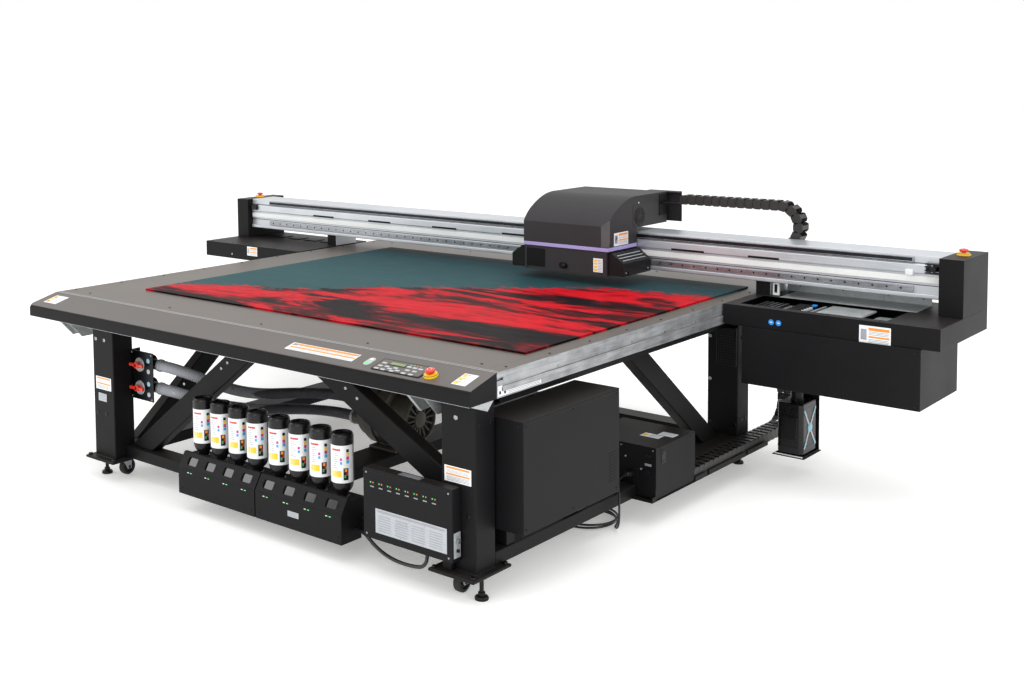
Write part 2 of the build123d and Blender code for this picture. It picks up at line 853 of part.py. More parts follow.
os.makedirs("parts", exist_ok=True)
save("legs", legs())
save("frame_beams", base_beams() + top_beams())
save("braces", braces())
save("bed_table", bed_table())
save("bed_side_rails", bed_side_rails())
save("front_panel", front_panel())
save("front_brackets", front_brackets())
save("printed_board", printed_board())
save("power_button", power_button())
save("panel_stop_button", mushroom(panel_plane(*estop_place)))
save("ink_racks", [ink_rack(x0, x1, [x for x in bottle_places if x0 < x < x1]) for x0, x1 in rack_spans])
for number, x in enumerate(bottle_places, 1):
    save("ink_bottle_" + str(number), ink_bottle(x))
save("ink_controller", ink_controller())
save("valve_panel", valve_panel())
for name, z in zip(("upper", "lower"), valve_heights):
    save("valve_handle_" + name, valve_handle(z))
save("blower", blower())
for name, route in hose_routes.items():
    save(name, cord_tube(name, route, hose_diameter))
save("electrics_cabinet", electrics_cabinet())
save("power_box", power_box_body())
save("power_switch", power_switch())
save("power_plugs", power_plugs())
save("power_cord", cord_tube("power_cord", cord_route, cord_diameter))
save("power_cord_coil", power_cord_coil())
save("signal_cable", cord_tube("signal_cable", signal_route, 14))
save("chain_tray", chain_tray())
save("floor_chain_lower", floor_chain_lower())
save("floor_chain_bend", floor_chain_bend())
save("gantry_beam", gantry_beam())
save("end_covers", end_covers())
save("side_trays", side_trays())
save("lower_cover", lower_cover())
save("station", station())
save("waste_shelf", waste_shelf())
save("waste_tank", waste_tank())
save("gantry_stop_right", gantry_stop(gantry_width / 2 - cover_width))
save("gantry_stop_left", gantry_stop(-gantry_width / 2))
save("carriage_body", carriage_body())
save("carriage_cover", carriage_cover())
save("uv_lamps", uv_lamps())
save("carriage_chain_upper", carriage_chain_upper())
save("carriage_chain_lower", carriage_chain_lower())
save("carriage_chain_bend", carriage_chain_bend())
for corner, (caster, _) in corner_places.items():
    save("caster_fork_" + corner, caster_fork(caster))
    save("caster_wheel_" + corner, caster_wheel(caster))
save("levelling_feet", levelling_feet())
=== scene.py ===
import math
import random

import bmesh
import bpy
from mathutils import Matrix, Vector


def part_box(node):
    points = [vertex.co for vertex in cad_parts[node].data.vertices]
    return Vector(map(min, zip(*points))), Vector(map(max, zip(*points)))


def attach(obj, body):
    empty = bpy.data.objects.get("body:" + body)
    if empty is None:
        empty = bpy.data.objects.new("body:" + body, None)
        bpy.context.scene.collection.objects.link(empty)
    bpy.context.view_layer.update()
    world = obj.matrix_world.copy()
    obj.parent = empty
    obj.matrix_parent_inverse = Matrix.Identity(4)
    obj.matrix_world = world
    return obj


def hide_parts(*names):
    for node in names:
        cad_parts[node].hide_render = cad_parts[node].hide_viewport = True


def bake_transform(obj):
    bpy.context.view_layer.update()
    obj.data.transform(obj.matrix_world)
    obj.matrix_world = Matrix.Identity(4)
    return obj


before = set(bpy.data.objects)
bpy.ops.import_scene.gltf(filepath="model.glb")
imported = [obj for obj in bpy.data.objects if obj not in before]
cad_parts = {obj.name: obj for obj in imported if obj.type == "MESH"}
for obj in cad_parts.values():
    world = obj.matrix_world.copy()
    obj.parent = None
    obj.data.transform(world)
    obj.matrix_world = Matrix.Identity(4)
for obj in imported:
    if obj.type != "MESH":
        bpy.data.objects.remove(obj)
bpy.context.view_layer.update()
scene = bpy.context.scene
random.seed(7)

# ---------- camera ----------
view = {"place": (3.8912, -4.6036, 1.8465), "yaw": -0.737487, "pitch": -0.072298, "roll": -0.013743,
        "lens": 45.04, "shiftX": 0.1367, "shiftY": -0.1753}


def placeCamera():
    yaw, pitch, roll = view["yaw"], view["pitch"], view["roll"]
    ahead = Vector((math.sin(yaw) * math.cos(pitch), math.cos(yaw) * math.cos(pitch), math.sin(pitch)))
    right = Vector((math.cos(yaw), -math.sin(yaw), 0))
    up = right.cross(ahead)
    across = right * math.cos(roll) + up * math.sin(roll)
    above = up * math.cos(roll) - right * math.sin(roll)
    camera = bpy.data.objects.new("camera", bpy.data.cameras.new("camera"))
    scene.collection.objects.link(camera)
    turn = Matrix((across, above, -ahead)).transposed().to_4x4()
    camera.matrix_world = Matrix.Translation(view["place"]) @ turn
    camera.data.sensor_width = 36
    camera.data.lens = view["lens"]
    camera.data.shift_x = view["shiftX"]
    camera.data.shift_y = view["shiftY"]
    scene.camera = camera


placeCamera()
print("camera placed")

# ---------- materials ----------


def linear(code):
    # an sRGB hex colour as the linear values that Blender mixes
    values = [int(code[i:i + 2], 16) / 255 for i in (1, 3, 5)]
    return [v / 12.92 if v <= 0.04045 else ((v + 0.055) / 1.055) ** 2.4 for v in values] + [1]


def addNode(tree, kind, links=None, **settings):
    node = tree.nodes.new(kind)
    for name, value in settings.items():
        setattr(node, name, value)
    for name, value in (links or {}).items():
        if isinstance(value, bpy.types.NodeSocket):
            tree.links.new(value, node.inputs[name])
        else:
            node.inputs[name].default_value = value
    return node


# grain and patch are sizes in millimetres, height is how deep the grain is in millimetres,
# stretch pulls the grain along X, Y, Z, spread is how much the roughness wanders
finishes = {
    # powder coat on welded steel: satin black, a faint orange peel that breaks up the lamps' reflections
    "blackPowderCoat": {"colour": "#0E0E10", "second": "#161517", "rough": 0.48, "spread": 0.10, "grain": 5,
                        "height": 0.05, "patch": 260, "gloss": 0.14, "slot": "black_powder_coat"},
    # the same coat on horizontal steel, drawn lighter, browner and glossier: painted light from above
    "topLitPowderCoat": {"colour": "#1C1A19", "second": "#2A2624", "rough": 0.50, "spread": 0.10, "grain": 5,
                        "height": 0.05, "patch": 180, "gloss": 0.22, "slot": "black_powder_coat"},
    # anodised aluminium plate, fine along-the-roll grain, warm grey with a soft long sheen
    "taupeAnodised": {"colour": "#625A53", "second": "#6F6861", "rough": 0.42, "spread": 0.10, "grain": 3,
                      "height": 0.02, "stretch": (0.06, 1, 1), "patch": 420, "metal": 0.55,
                      "slot": "grey_anodised"},
    # the same plate's drilled suction field, a touch lighter
    "brushedAluminium": {"colour": "#85878A", "second": "#BDBFC2", "rough": 0.40, "spread": 0.16, "grain": 7,
                         "height": 0.06, "stretch": (1, 0.05, 1), "patch": 90, "metal": 0.6,
                         "slot": "bright_aluminium"},
    # extruded aluminium along X: pale, with drawn lines that streak the reflections
    "drawnAluminium": {"colour": "#BFC3C8", "second": "#D3D6DA", "rough": 0.4, "spread": 0.14, "grain": 4,
                       "height": 0.05, "stretch": (0.03, 1, 1), "patch": 200, "metal": 0.7,
                       "slot": "bright_aluminium"},
    # textured paint on folded covers: charcoal with a fine pebble that kills sharp reflections
    "charcoalPaint": {"colour": "#29282A", "second": "#323032", "rough": 0.54, "spread": 0.08, "grain": 4,
                      "height": 0.07, "patch": 300, "gloss": 0.3, "slot": "dark_grey_paint"},
    # smooth dark bronze-grey on the front panel's sloping top, lighter than its black front: painted light from above
    "slopeLitPaint": {"colour": "#55504C", "second": "#625C58", "rough": 0.42, "spread": 0.08, "grain": 4,
                   "height": 0.04, "patch": 400, "slot": "dark_grey_paint"},
    # lighter, glossier paint on the charcoal cover's chamfered corner: a painted highlight
    "chamferHighlightPaint": {"colour": "#454446", "second": "#535254", "rough": 0.36, "spread": 0.08, "grain": 4,
                      "height": 0.03, "patch": 80, "slot": "dark_grey_paint"},
    # translucent-looking moulded band, matt lilac acrylic
    "lilacAcrylic": {"colour": "#A497D2", "second": "#AEA2DA", "rough": 0.34, "spread": 0.06, "grain": 6,
                     "height": 0.01, "patch": 200, "slot": "black_plastic"},
    # bright zinc plate: bluish, cloudy spangle
    "zincPlate": {"colour": "#AEB3B4", "second": "#C4C8C8", "rough": 0.42, "spread": 0.16, "grain": 14,
                  "height": 0.02, "patch": 60, "metal": 0.5, "slot": "zinc_plate"},
    # ground and polished tool steel for rails and shafts
    "groundSteel": {"colour": "#8E9196", "second": "#A9ACB0", "rough": 0.24, "spread": 0.12, "grain": 3,
                    "height": 0.02, "stretch": (0.05, 1, 1), "patch": 90, "metal": 0.75, "slot": "steel"},
    # burnished dark steel, nearly black with a metallic edge
    "darkSteel": {"colour": "#2B2C2F", "second": "#3A3B3F", "rough": 0.33, "spread": 0.12, "grain": 3,
                  "height": 0.02, "stretch": (0.1, 1, 1), "patch": 90, "metal": 1, "slot": "dark_steel"},
    # moulded ABS: black, low even sheen with a fine spark-eroded grain
    "blackMoulding": {"colour": "#0F0F10", "second": "#161617", "rough": 0.38, "spread": 0.08, "grain": 2.5,
                      "height": 0.05, "patch": 60, "gloss": 0.22, "slot": "black_plastic"},
    # glossy blow-moulded polyethylene of the bottles and tank: softly waxy
    "blackPolyethylene": {"colour": "#0C0C0E", "second": "#121214", "rough": 0.28, "spread": 0.08, "grain": 14,
                          "height": 0.03, "patch": 60, "gloss": 0.35, "slot": "black_plastic"},
    # light grey moulded keys and sensor housings
    "greyMoulding": {"colour": "#AEB0B3", "second": "#B9BBBE", "rough": 0.42, "spread": 0.06, "grain": 3,
                     "height": 0.03, "patch": 40, "slot": "zinc_plate"},
    # white painted aluminium strip and nylon parts, slightly cool
    "whitePaint": {"colour": "#E4E7E5", "second": "#F0F1EF", "rough": 0.34, "spread": 0.08, "grain": 6,
                   "height": 0.02, "patch": 160, "slot": "bright_aluminium"},
    # signal red moulded polycarbonate of the stop heads, wet-looking
    "redMoulding": {"colour": "#CF2B18", "second": "#DC3A22", "rough": 0.24, "spread": 0.06, "grain": 5,
                    "height": 0.02, "patch": 30, "coat": 0.35, "slot": "red_plastic"},
    # yellow ring under the stop heads
    "yellowMoulding": {"colour": "#F0BC06", "second": "#F6C818", "rough": 0.34, "spread": 0.06, "grain": 5,
                       "height": 0.02, "patch": 30, "slot": "red_plastic"},
    # hammered olive paint on the blower's casting, coarse and oily
    "olivePaint": {"colour": "#403C33", "second": "#4E493E", "rough": 0.44, "spread": 0.14, "grain": 7,
                   "height": 0.25, "patch": 70, "slot": "olive_paint"},
    # light PVC hose, dull, a little stained
    "paleHose": {"colour": "#8E9096", "second": "#9C9EA3", "rough": 0.50, "spread": 0.10, "grain": 6,
                 "height": 0.05, "patch": 60, "slot": "grey_hose"},
    # the same hose drawn darker where it runs in under the bed: painted shade
    "shadedHoseEnd": {"colour": "#3D3D42", "second": "#4A4A50", "rough": 0.46, "spread": 0.10, "grain": 6,
                 "height": 0.05, "patch": 60, "slot": "grey_hose"},
    # soft PVC cord jacket, a narrow highlight along its length
    "cordJacket": {"colour": "#101113", "second": "#191A1D", "rough": 0.34, "spread": 0.08, "grain": 4,
                   "height": 0.03, "patch": 40, "slot": "black_rubber"},
    # tyre rubber: dead matt, greyed by the floor
    "tyreRubber": {"colour": "#1B1B1B", "second": "#272625", "rough": 0.78, "spread": 0.10, "grain": 3,
                   "height": 0.12, "patch": 25, "slot": "wheel_rubber"},
    # glass-filled nylon of the chain links: matt edges, a faint brown cast
    "chainNylon": {"colour": "#1A1918", "second": "#2B2826", "rough": 0.44, "spread": 0.12, "grain": 4,
                   "height": 0.06, "patch": 24, "slot": "black_plastic"},
    # printed polyester labels: flat and slightly glossy
    "whiteLabel": {"colour": "#E6E8EA", "second": "#EFF0F2", "rough": 0.36, "spread": 0.05, "grain": 8,
                   "height": 0.01, "patch": 50, "slot": "print_film"},
    "greyInk": {"colour": "#8F9296", "second": "#9A9DA1", "rough": 0.45, "spread": 0.05, "grain": 8,
                "height": 0.01, "patch": 50, "slot": "print_film"},
    "silverLabel": {"colour": "#A9ADB3", "second": "#B7BBC1", "rough": 0.3, "spread": 0.08, "grain": 5,
                    "height": 0.01, "patch": 50, "metal": 0.6, "slot": "print_film"},
    "orangeInk": {"colour": "#EF8B1F", "second": "#F29630", "rough": 0.42, "spread": 0.05, "grain": 8,
                  "height": 0.01, "patch": 50, "slot": "print_film"},
    "redInk": {"colour": "#C8242C", "second": "#D2323A", "rough": 0.42, "spread": 0.05, "grain": 8,
               "height": 0.01, "patch": 50, "slot": "print_film"},
    "yellowInk": {"colour": "#F2C51A", "second": "#F5CD33", "rough": 0.42, "spread": 0.05, "grain": 8,
                  "height": 0.01, "patch": 50, "slot": "print_film"},
    "blueInk": {"colour": "#1C83D6", "second": "#2C8EDD", "rough": 0.40, "spread": 0.05, "grain": 8,
                "height": 0.01, "patch": 50, "slot": "print_film"},
    "cyanInk": {"colour": "#2BA8D8", "second": "#3AB1DE", "rough": 0.42, "spread": 0.05, "grain": 8,
                "height": 0.01, "patch": 50, "slot": "print_film"},
    "magentaInk": {"colour": "#C92C86", "second": "#D23A90", "rough": 0.42, "spread": 0.05, "grain": 8,
                   "height": 0.01, "patch": 50, "slot": "print_film"},
    "greenInk": {"colour": "#3F9C4B", "second": "#4BA657", "rough": 0.42, "spread": 0.05, "grain": 8,
                 "height": 0.01, "patch": 50, "slot": "print_film"},
    # dim display glass over a green-grey panel
    "displayGlass": {"colour": "#6F8A3C", "second": "#7A9444", "rough": 0.16, "spread": 0.04, "grain": 8,
                     "height": 0.01, "patch": 40, "coat": 0.5, "slot": "green_lens"},
    # smoked polycarbonate windows of the ink racks and display frame: near black, mirror-like
    "smokedWindow": {"colour": "#08090B", "second": "#0D0E11", "rough": 0.10, "spread": 0.04, "grain": 30,
                     "height": 0.01, "patch": 80, "coat": 0.6, "slot": "black_plastic"},
    # clear grey strap and windows of the tank side
    "blueNylon": {"colour": "#7FB4C4", "second": "#8CC0CE", "rough": 0.34, "spread": 0.08, "grain": 5,
                  "height": 0.03, "patch": 30, "slot": "green_lens"},
    "greenLens": {"colour": "#3BC45A", "second": "#55D070", "rough": 0.2, "spread": 0.04, "grain": 8,
                  "height": 0.01, "patch": 20, "glow": 0.6, "slot": "green_lens"},
}
made = {}


def finish(name):
    if name in made:
        return made[name]
    s = finishes[name]
    material = bpy.data.materials.new(name)
    material.use_nodes = True
    tree = material.node_tree
    tree.nodes.clear()
    place = addNode(tree, "ShaderNodeTexCoord").outputs["Object"]
    pulled = addNode(tree, "ShaderNodeMapping", {"Vector": place, "Scale": s.get("stretch", (1, 1, 1))})
    grain = addNode(tree, "ShaderNodeTexNoise", {"Vector": pulled.outputs[0], "Scale": 1000 / s["grain"],
                                                 "Detail": 3, "Roughness": 0.6})
    patch = addNode(tree, "ShaderNodeTexNoise", {"Vector": place, "Scale": 1000 / s["patch"], "Detail": 4,
                                                 "Roughness": 0.55})
    # colour drifts in patches, and the grain adds a little on top
    both = addNode(tree, "ShaderNodeMath", {0: patch.outputs[0], 1: grain.outputs[0]}, operation="ADD")
    share = addNode(tree, "ShaderNodeMapRange", {"Value": both.outputs[0], "From Min": 0.7, "From Max": 1.3})
    colour = addNode(tree, "ShaderNodeMix", {0: share.outputs[0], 6: linear(s["colour"]),
                                             7: linear(s["second"])}, data_type="RGBA")
    rough = addNode(tree, "ShaderNodeMapRange", {"Value": both.outputs[0], "From Min": 0.7, "From Max": 1.3,
                                                 "To Min": s["rough"] - s["spread"] / 2,
                                                 "To Max": s["rough"] + s["spread"] / 2})
    bump = addNode(tree, "ShaderNodeBump", {"Height": grain.outputs[0], "Strength": 0.6,
                                            "Distance": s["height"] / 1000})
    shader = addNode(tree, "ShaderNodeBsdfPrincipled", {
        "Base Color": colour.outputs[2], "Roughness": rough.outputs[0], "Normal": bump.outputs[0],
        "Metallic": s.get("metal", 0), "Coat Weight": s.get("coat", 0), "Coat Roughness": 0.12,
        "Specular IOR Level": s.get("gloss", 0.5)})
    if s.get("glow"):
        shader.inputs["Emission Color"].default_value = linear(s["second"])
        shader.inputs["Emission Strength"].default_value = s["glow"]
    out = addNode(tree, "ShaderNodeOutputMaterial")
    tree.links.new(shader.outputs[0], out.inputs[0])
    made[name] = material
    return material


# ---------- shapes ----------
sharp = math.radians(28)


def roundEdges(part, width, steps=2):
    # bevels every edge that turns a corner
    edges = [e for e in part.edges if len(e.link_faces) == 2 and e.calc_face_angle(0) > sharp]
    if width > 0 and edges:
        bmesh.ops.bevel(part, geom=edges, offset=width, offset_type="OFFSET", segments=steps, profile=0.5,
                        affect="EDGES", clamp_overlap=True, material=-1)
    return part


def cuboid(low, high, edge=0.0012, steps=2):
    part = bmesh.new()
    bmesh.ops.create_cube(part, size=1)
    size = Vector(high) - Vector(low)
    middle = (Vector(high) + Vector(low)) / 2
    bmesh.ops.transform(part, matrix=Matrix.Translation(middle) @ Matrix.Diagonal((*size, 1)), verts=part.verts)
    return roundEdges(part, edge, steps)


def prism(outline, axis, start, end, edge=0.0012, steps=2):
    # an outline in the plane across the axis, drawn out from start to end
    order = {"x": (2, 0, 1), "y": (0, 2, 1), "z": (0, 1, 2)}[axis]
    part = bmesh.new()
    verts = [part.verts.new([(u, v, start)[i] for i in order]) for u, v in outline]
    base = part.faces.new(verts)
    grown = bmesh.ops.extrude_face_region(part, geom=[base])["geom"]
    step = Vector([(0, 0, end - start)[i] for i in order])
    bmesh.ops.translate(part, vec=step, verts=[g for g in grown if isinstance(g, bmesh.types.BMVert)])
    bmesh.ops.recalc_face_normals(part, faces=part.faces)
    return roundEdges(part, edge, steps)


def aim(direction):
    return Vector((0, 0, 1)).rotation_difference(Vector(direction)).to_matrix().to_4x4()


def turned(profile, middle, direction=(0, 0, 1), steps=32):
    # a profile of (radius, height) spun round its axis
    part = bmesh.new()
    verts = [part.verts.new((r, 0, h)) for r, h in profile]
    edges = [part.edges.new(pair) for pair in zip(verts, verts[1:])]
    bmesh.ops.spin(part, geom=verts + edges, cent=(0, 0, 0), axis=(0, 0, 1), angle=2 * math.pi, steps=steps,
                   use_merge=True)
    bmesh.ops.remove_doubles(part, verts=part.verts, dist=1e-6)
    bmesh.ops.recalc_face_normals(part, faces=part.faces)
    bmesh.ops.transform(part, matrix=Matrix.Translation(middle) @ aim(direction), verts=part.verts)
    return part


def rod(start, end, radius, steps=20, edge=0.0):
    part = bmesh.new()
    run = Vector(end) - Vector(start)
    bmesh.ops.create_cone(part, cap_ends=True, segments=steps, radius1=radius, radius2=radius, depth=run.length)
    roundEdges(part, edge, 2) if edge else None
    middle = (Vector(start) + Vector(end)) / 2
    bmesh.ops.transform(part, matrix=Matrix.Translation(middle) @ aim(run), verts=part.verts)
    return part


def plaque(middle, right, up, width, height, thick, edge=0.0003, corner=0.0):
    # a thin plate standing off a surface: right and up run along it, its back is at middle
    part = bmesh.new()
    bmesh.ops.create_cube(part, size=1)
    bmesh.ops.transform(part, matrix=Matrix.Diagonal((width, height, thick, 1)), verts=part.verts)
    bmesh.ops.translate(part, vec=(0, 0, thick / 2), verts=part.verts)
    if corner:
        posts = [e for e in part.edges if abs(e.verts[0].co.z - e.verts[1].co.z) > thick / 2]
        bmesh.ops.bevel(part, geom=posts, offset=corner, offset_type="OFFSET", segments=5, profile=0.5,
                        affect="EDGES", clamp_overlap=True, material=-1)
    roundEdges(part, edge, 1)
    right, up = Vector(right).normalized(), Vector(up).normalized()
    turn = Matrix((right, up, right.cross(up))).transposed().to_4x4()
    bmesh.ops.transform(part, matrix=Matrix.Translation(middle) @ turn, verts=part.verts)
    return part


class Piece:
    # gathers parts, each in its own finish, into one mesh that rides on a body
    def __init__(self, name):
        self.name = name
        self.mesh = bmesh.new()
        self.finishes = []

    def add(self, part, name):
        if name not in self.finishes:
            self.finishes.append(name)
        slot = self.finishes.index(name)
        for face in part.faces:
            face.material_index = slot
        held = bpy.data.meshes.new("held")
        part.to_mesh(held)
        self.mesh.from_mesh(held)
        bpy.data.meshes.remove(held)
        part.free()
        return self

    def screw(self, place, direction, radius=0.004, name="groundSteel"):
        # a pan head with a dished middle
        r = radius
        profile = [(0, 0.0012), (r * 0.45, 0.0012), (r * 0.5, 0.0022), (r * 0.85, 0.0022), (r, 0.001), (r, 0)]
        return self.add(turned(profile + [(0, 0)], place, direction, 12), name)

    def sticker(self, middle, right, up, width, height, marks, back="whiteLabel", lift=0.0005):
        # a printed label with no lettering: marks are (left, bottom, right, top, ink) in shares of its size
        right, up = Vector(right).normalized(), Vector(up).normalized()
        out = right.cross(up)
        middle = Vector(middle)
        self.add(plaque(middle, right, up, width, height, lift, 0.0001), back)
        for left, low, far, high, ink in marks:
            spot = middle + out * lift
            spot += right * width * ((left + far) / 2 - 0.5) + up * height * ((low + high) / 2 - 0.5)
            self.add(plaque(spot, right, up, width * (far - left), height * (high - low), 0.0002, 0), ink)
        return self

    def done(self, body, replaces=(), final=False):
        data = bpy.data.meshes.new(self.name)
        self.mesh.to_mesh(data)
        self.mesh.free()
        piece = bpy.data.objects.new(self.name, data)
        scene.collection.objects.link(piece)
        for name in self.finishes:
            data.materials.append(finish(name))
        data.shade_smooth()
        data.set_sharp_from_angle(angle=math.radians(34))
        if not final:
            piece.modifiers.new("weighted", "WEIGHTED_NORMAL").keep_sharp = True
        if body:
            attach(piece, body)
        if replaces:
            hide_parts(*replaces)
        return piece


def softened(node, body, names, edge=0.0015, choose=None, shape=None):
    # the CAD node's shape with its loose triangles merged and its edges rolled over; shape changes it first
    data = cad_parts[node].data.copy()
    data.materials.clear()
    work = bmesh.new()
    work.from_mesh(data)
    bmesh.ops.remove_doubles(work, verts=work.verts, dist=2e-5)
    bmesh.ops.dissolve_limit(work, angle_limit=math.radians(0.5), verts=work.verts, edges=work.edges)
    if shape:
        shape(work)
    for face in work.faces:
        face.material_index = choose(face) if choose else 0
    work.to_mesh(data)
    work.free()
    piece = bpy.data.objects.new(node + "_skin", data)
    scene.collection.objects.link(piece)
    for name in names:
        data.materials.append(finish(name))
    if edge:
        rolled = piece.modifiers.new("rolled", "BEVEL")
        rolled.width = edge
        rolled.segments = 2
        rolled.limit_method = "ANGLE"
        rolled.angle_limit = math.radians(30)
    data.shade_smooth()
    data.set_sharp_from_angle(angle=math.radians(34))
    piece.modifiers.new("weighted", "WEIGHTED_NORMAL").keep_sharp = True
    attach(piece, body)
    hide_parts(node)
    return piece


def paint(node, name):
    # a CAD node that keeps its own mesh
    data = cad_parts[node].data
    data.materials.clear()
    data.materials.append(finish(name))
    data.polygons.foreach_set("material_index", [0] * len(data.polygons))


# ---------- cords ----------
cordRoutes = {
    "suction_hose_upper": [
        (-0.650, -1.045, 0.530), (-0.567, -1.045, 0.530), (-0.489, -1.017, 0.512), (-0.427, -0.961, 0.478),
        (-0.388, -0.888, 0.440), (-0.371, -0.807, 0.408), (-0.362, -0.724, 0.384), (-0.348, -0.642, 0.368),
        (-0.331, -0.561, 0.358), (-0.292, -0.484, 0.351), (-0.230, -0.424, 0.347), (-0.152, -0.392, 0.345),
        (-0.070, -0.392, 0.345)],
    "suction_hose_lower": [
        (-0.650, -1.045, 0.425), (-0.567, -1.045, 0.425), (-0.488, -1.018, 0.410), (-0.428, -0.962, 0.384),
        (-0.390, -0.889, 0.356), (-0.374, -0.808, 0.332), (-0.364, -0.725, 0.312), (-0.349, -0.643, 0.296),
        (-0.330, -0.562, 0.284), (-0.291, -0.485, 0.274), (-0.230, -0.424, 0.266), (-0.152, -0.392, 0.262),
        (-0.070, -0.392, 0.262)],
    "power_cord": [
        (1.231, -0.190, 0.200), (1.231, -0.228, 0.200), (1.251, -0.268, 0.184), (1.273, -0.298, 0.144),
        (1.281, -0.310, 0.094), (1.277, -0.306, 0.048), (1.259, -0.288, 0.016), (1.233, -0.266, 0.009)],
    "signal_cable": [
        (0.657, -1.165, 0.118), (0.702, -1.165, 0.118), (0.752, -1.178, 0.092), (0.815, -1.190, 0.072),
        (0.885, -1.198, 0.062), (0.955, -1.203, 0.064), (1.004, -1.206, 0.071), (1.024, -1.208, 0.080),
        (1.040, -1.210, 0.096), (1.048, -1.212, 0.116), (1.048, -1.212, 0.140)],
}


def cordCurve(name, points, diameter=0.0):
    data = bpy.data.curves.new(name, "CURVE")
    data.dimensions = "3D"
    spline = data.splines.new("NURBS")
    spline.points.add(len(points) - 1)
    for point, place in zip(spline.points, points):
        point.co = (*place, 1)
    spline.order_u = 3
    spline.use_endpoint_u = True
    spline.resolution_u = 10
    data.bevel_depth = diameter / 2
    data.bevel_resolution = 5
    data.use_fill_caps = True
    curve = bpy.data.objects.new(name, data)
    scene.collection.objects.link(curve)
    return curve


def cordPath(points):
    # the smooth line of a route, read back from its spline
    curve = cordCurve("route", points)
    line = bpy.data.meshes.new_from_object(curve)
    path = [v.co.copy() for v in line.vertices]
    bpy.data.meshes.remove(line)
    bpy.data.objects.remove(curve)
    return path


def pathLength(path):
    return sum((b - a).length for a, b in zip(path, path[1:]))


def alongPath(path, distance):
    # the point and heading that far along
    for a, b in zip(path, path[1:]):
        run = (b - a).length
        if distance <= run:
            return a.lerp(b, distance / run), (b - a).normalized()
        distance -= run
    return path[-1].copy(), (path[-1] - path[-2]).normalized()


hose = {"diameter": 0.050, "pitch": 0.0085, "valley": 0.0024, "paleShare": 0.53, "sides": 28, "cuff": 0.036}


def ribbedHose(name):
    # a spiral-wound suction hose: rings of two radii bridged along the route
    path = cordPath(cordRoutes[name])
    length = pathLength(path)
    rings = int(length / hose["pitch"]) * 4
    work = bmesh.new()
    loops = []
    for i in range(rings + 1):
        place, heading = alongPath(path, min(length * i / rings, length - 1e-6))
        swell = (0, 0, 1, 1)[i % 4]
        radius = hose["diameter"] / 2 - hose["valley"] * (1 - swell)
        if i * length / rings < hose["cuff"] or length - i * length / rings < hose["cuff"]:
            radius = hose["diameter"] / 2
        turn = Matrix.Translation(place) @ heading.to_track_quat("Z", "Y").to_matrix().to_4x4()
        ring = bmesh.ops.create_circle(work, cap_ends=False, segments=hose["sides"], radius=radius, matrix=turn)
        loops.append(ring["verts"])
    for near, far in zip(loops, loops[1:]):
        edges = [e for v in near + far for e in v.link_edges if e.other_vert(v) in near or e.other_vert(v) in far]
        bmesh.ops.bridge_loops(work, edges=list(set(edges)))
    for end in (loops[0], loops[-1]):
        bmesh.ops.contextual_create(work, geom=end)
    bmesh.ops.recalc_face_normals(work, faces=work.faces)
    # past the split the hose runs in under the bed and takes the darker finish: painted shade
    split = path[0].x + (path[-1].x - path[0].x) * hose["paleShare"]
    for face in work.faces:
        face.material_index = 0 if face.calc_center_median().x < split else 1
        face.smooth = True
    data = bpy.data.meshes.new(name + "_ribbed")
    work.to_mesh(data)
    work.free()
    data.materials.append(finish("paleHose"))
    data.materials.append(finish("shadedHoseEnd"))
    tube = bpy.data.objects.new(name + "_ribbed", data)
    scene.collection.objects.link(tube)
    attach(tube, "machine")
    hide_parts(name)


for hoseName in ("suction_hose_upper", "suction_hose_lower"):
    ribbedHose(hoseName)

coil = {"middle": (1.095, -0.250), "radius": 0.120, "turns": 2.2, "perTurn": 14, "low": 0.0048, "step": 0.0097,
        "start": math.radians(18), "wander": 0.004}
coilExit = [(1.058, -0.1285, 0.0235), (1.030, -0.1290, 0.0170), (1.010, -0.1300, 0.0115), (0.998, -0.1300, 0.0102)]


def coilPoints():
    # turns that lie on each other and differ a little in size, because nothing ties them
    x, y = coil["middle"]
    points = []
    count = round(coil["turns"] * coil["perTurn"])
    for i in range(count + 1):
        share = i / count
        angle = coil["start"] + 2 * math.pi * coil["turns"] * share
        radius = coil["radius"] + coil["wander"] * math.sin(angle * 1.5 + 0.6)
        height = coil["low"] + coil["step"] * coil["turns"] * share
        points.append((x + radius * math.cos(angle), y + radius * math.sin(angle), height))
    return points


print("cords laid")
# ---------- power cord with its loose coil ----------
cordSize = 0.009
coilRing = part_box("power_cord_coil")
fullRoute = cordRoutes["power_cord"] + coilPoints() + coilExit
cordPiece = cordCurve("power_cord_run", fullRoute, cordSize)
cordPiece.data.materials.append(finish("cordJacket"))
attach(cordPiece, "machine")
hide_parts("power_cord", "power_cord_coil")
print("power cord", round(pathLength(cordPath(fullRoute)), 3), "ends", fullRoute[-1])
signal = cordCurve("signal_cable_run", cordRoutes["signal_cable"], 0.014)
signal.data.materials.append(finish("cordJacket"))
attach(signal, "machine")
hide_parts("signal_cable")
signalLength = pathLength(cordPath(cordRoutes["signal_cable"]))
print("signal cable", round(signalLength, 3))

# ---------- lights and floor ----------
studio = {"worldStrength": 1.0}


def areaLight(name, place, target, size, power):
    data = bpy.data.lights.new(name, "AREA")
    data.shape = "RECTANGLE"
    data.size, data.size_y = size
    data.energy = power
    light = bpy.data.objects.new(name, data)
    scene.collection.objects.link(light)
    aimed = (Vector(place) - Vector(target)).to_track_quat("Z", "Y").to_matrix().to_4x4()
    light.matrix_world = Matrix.Translation(place) @ aimed
    return light


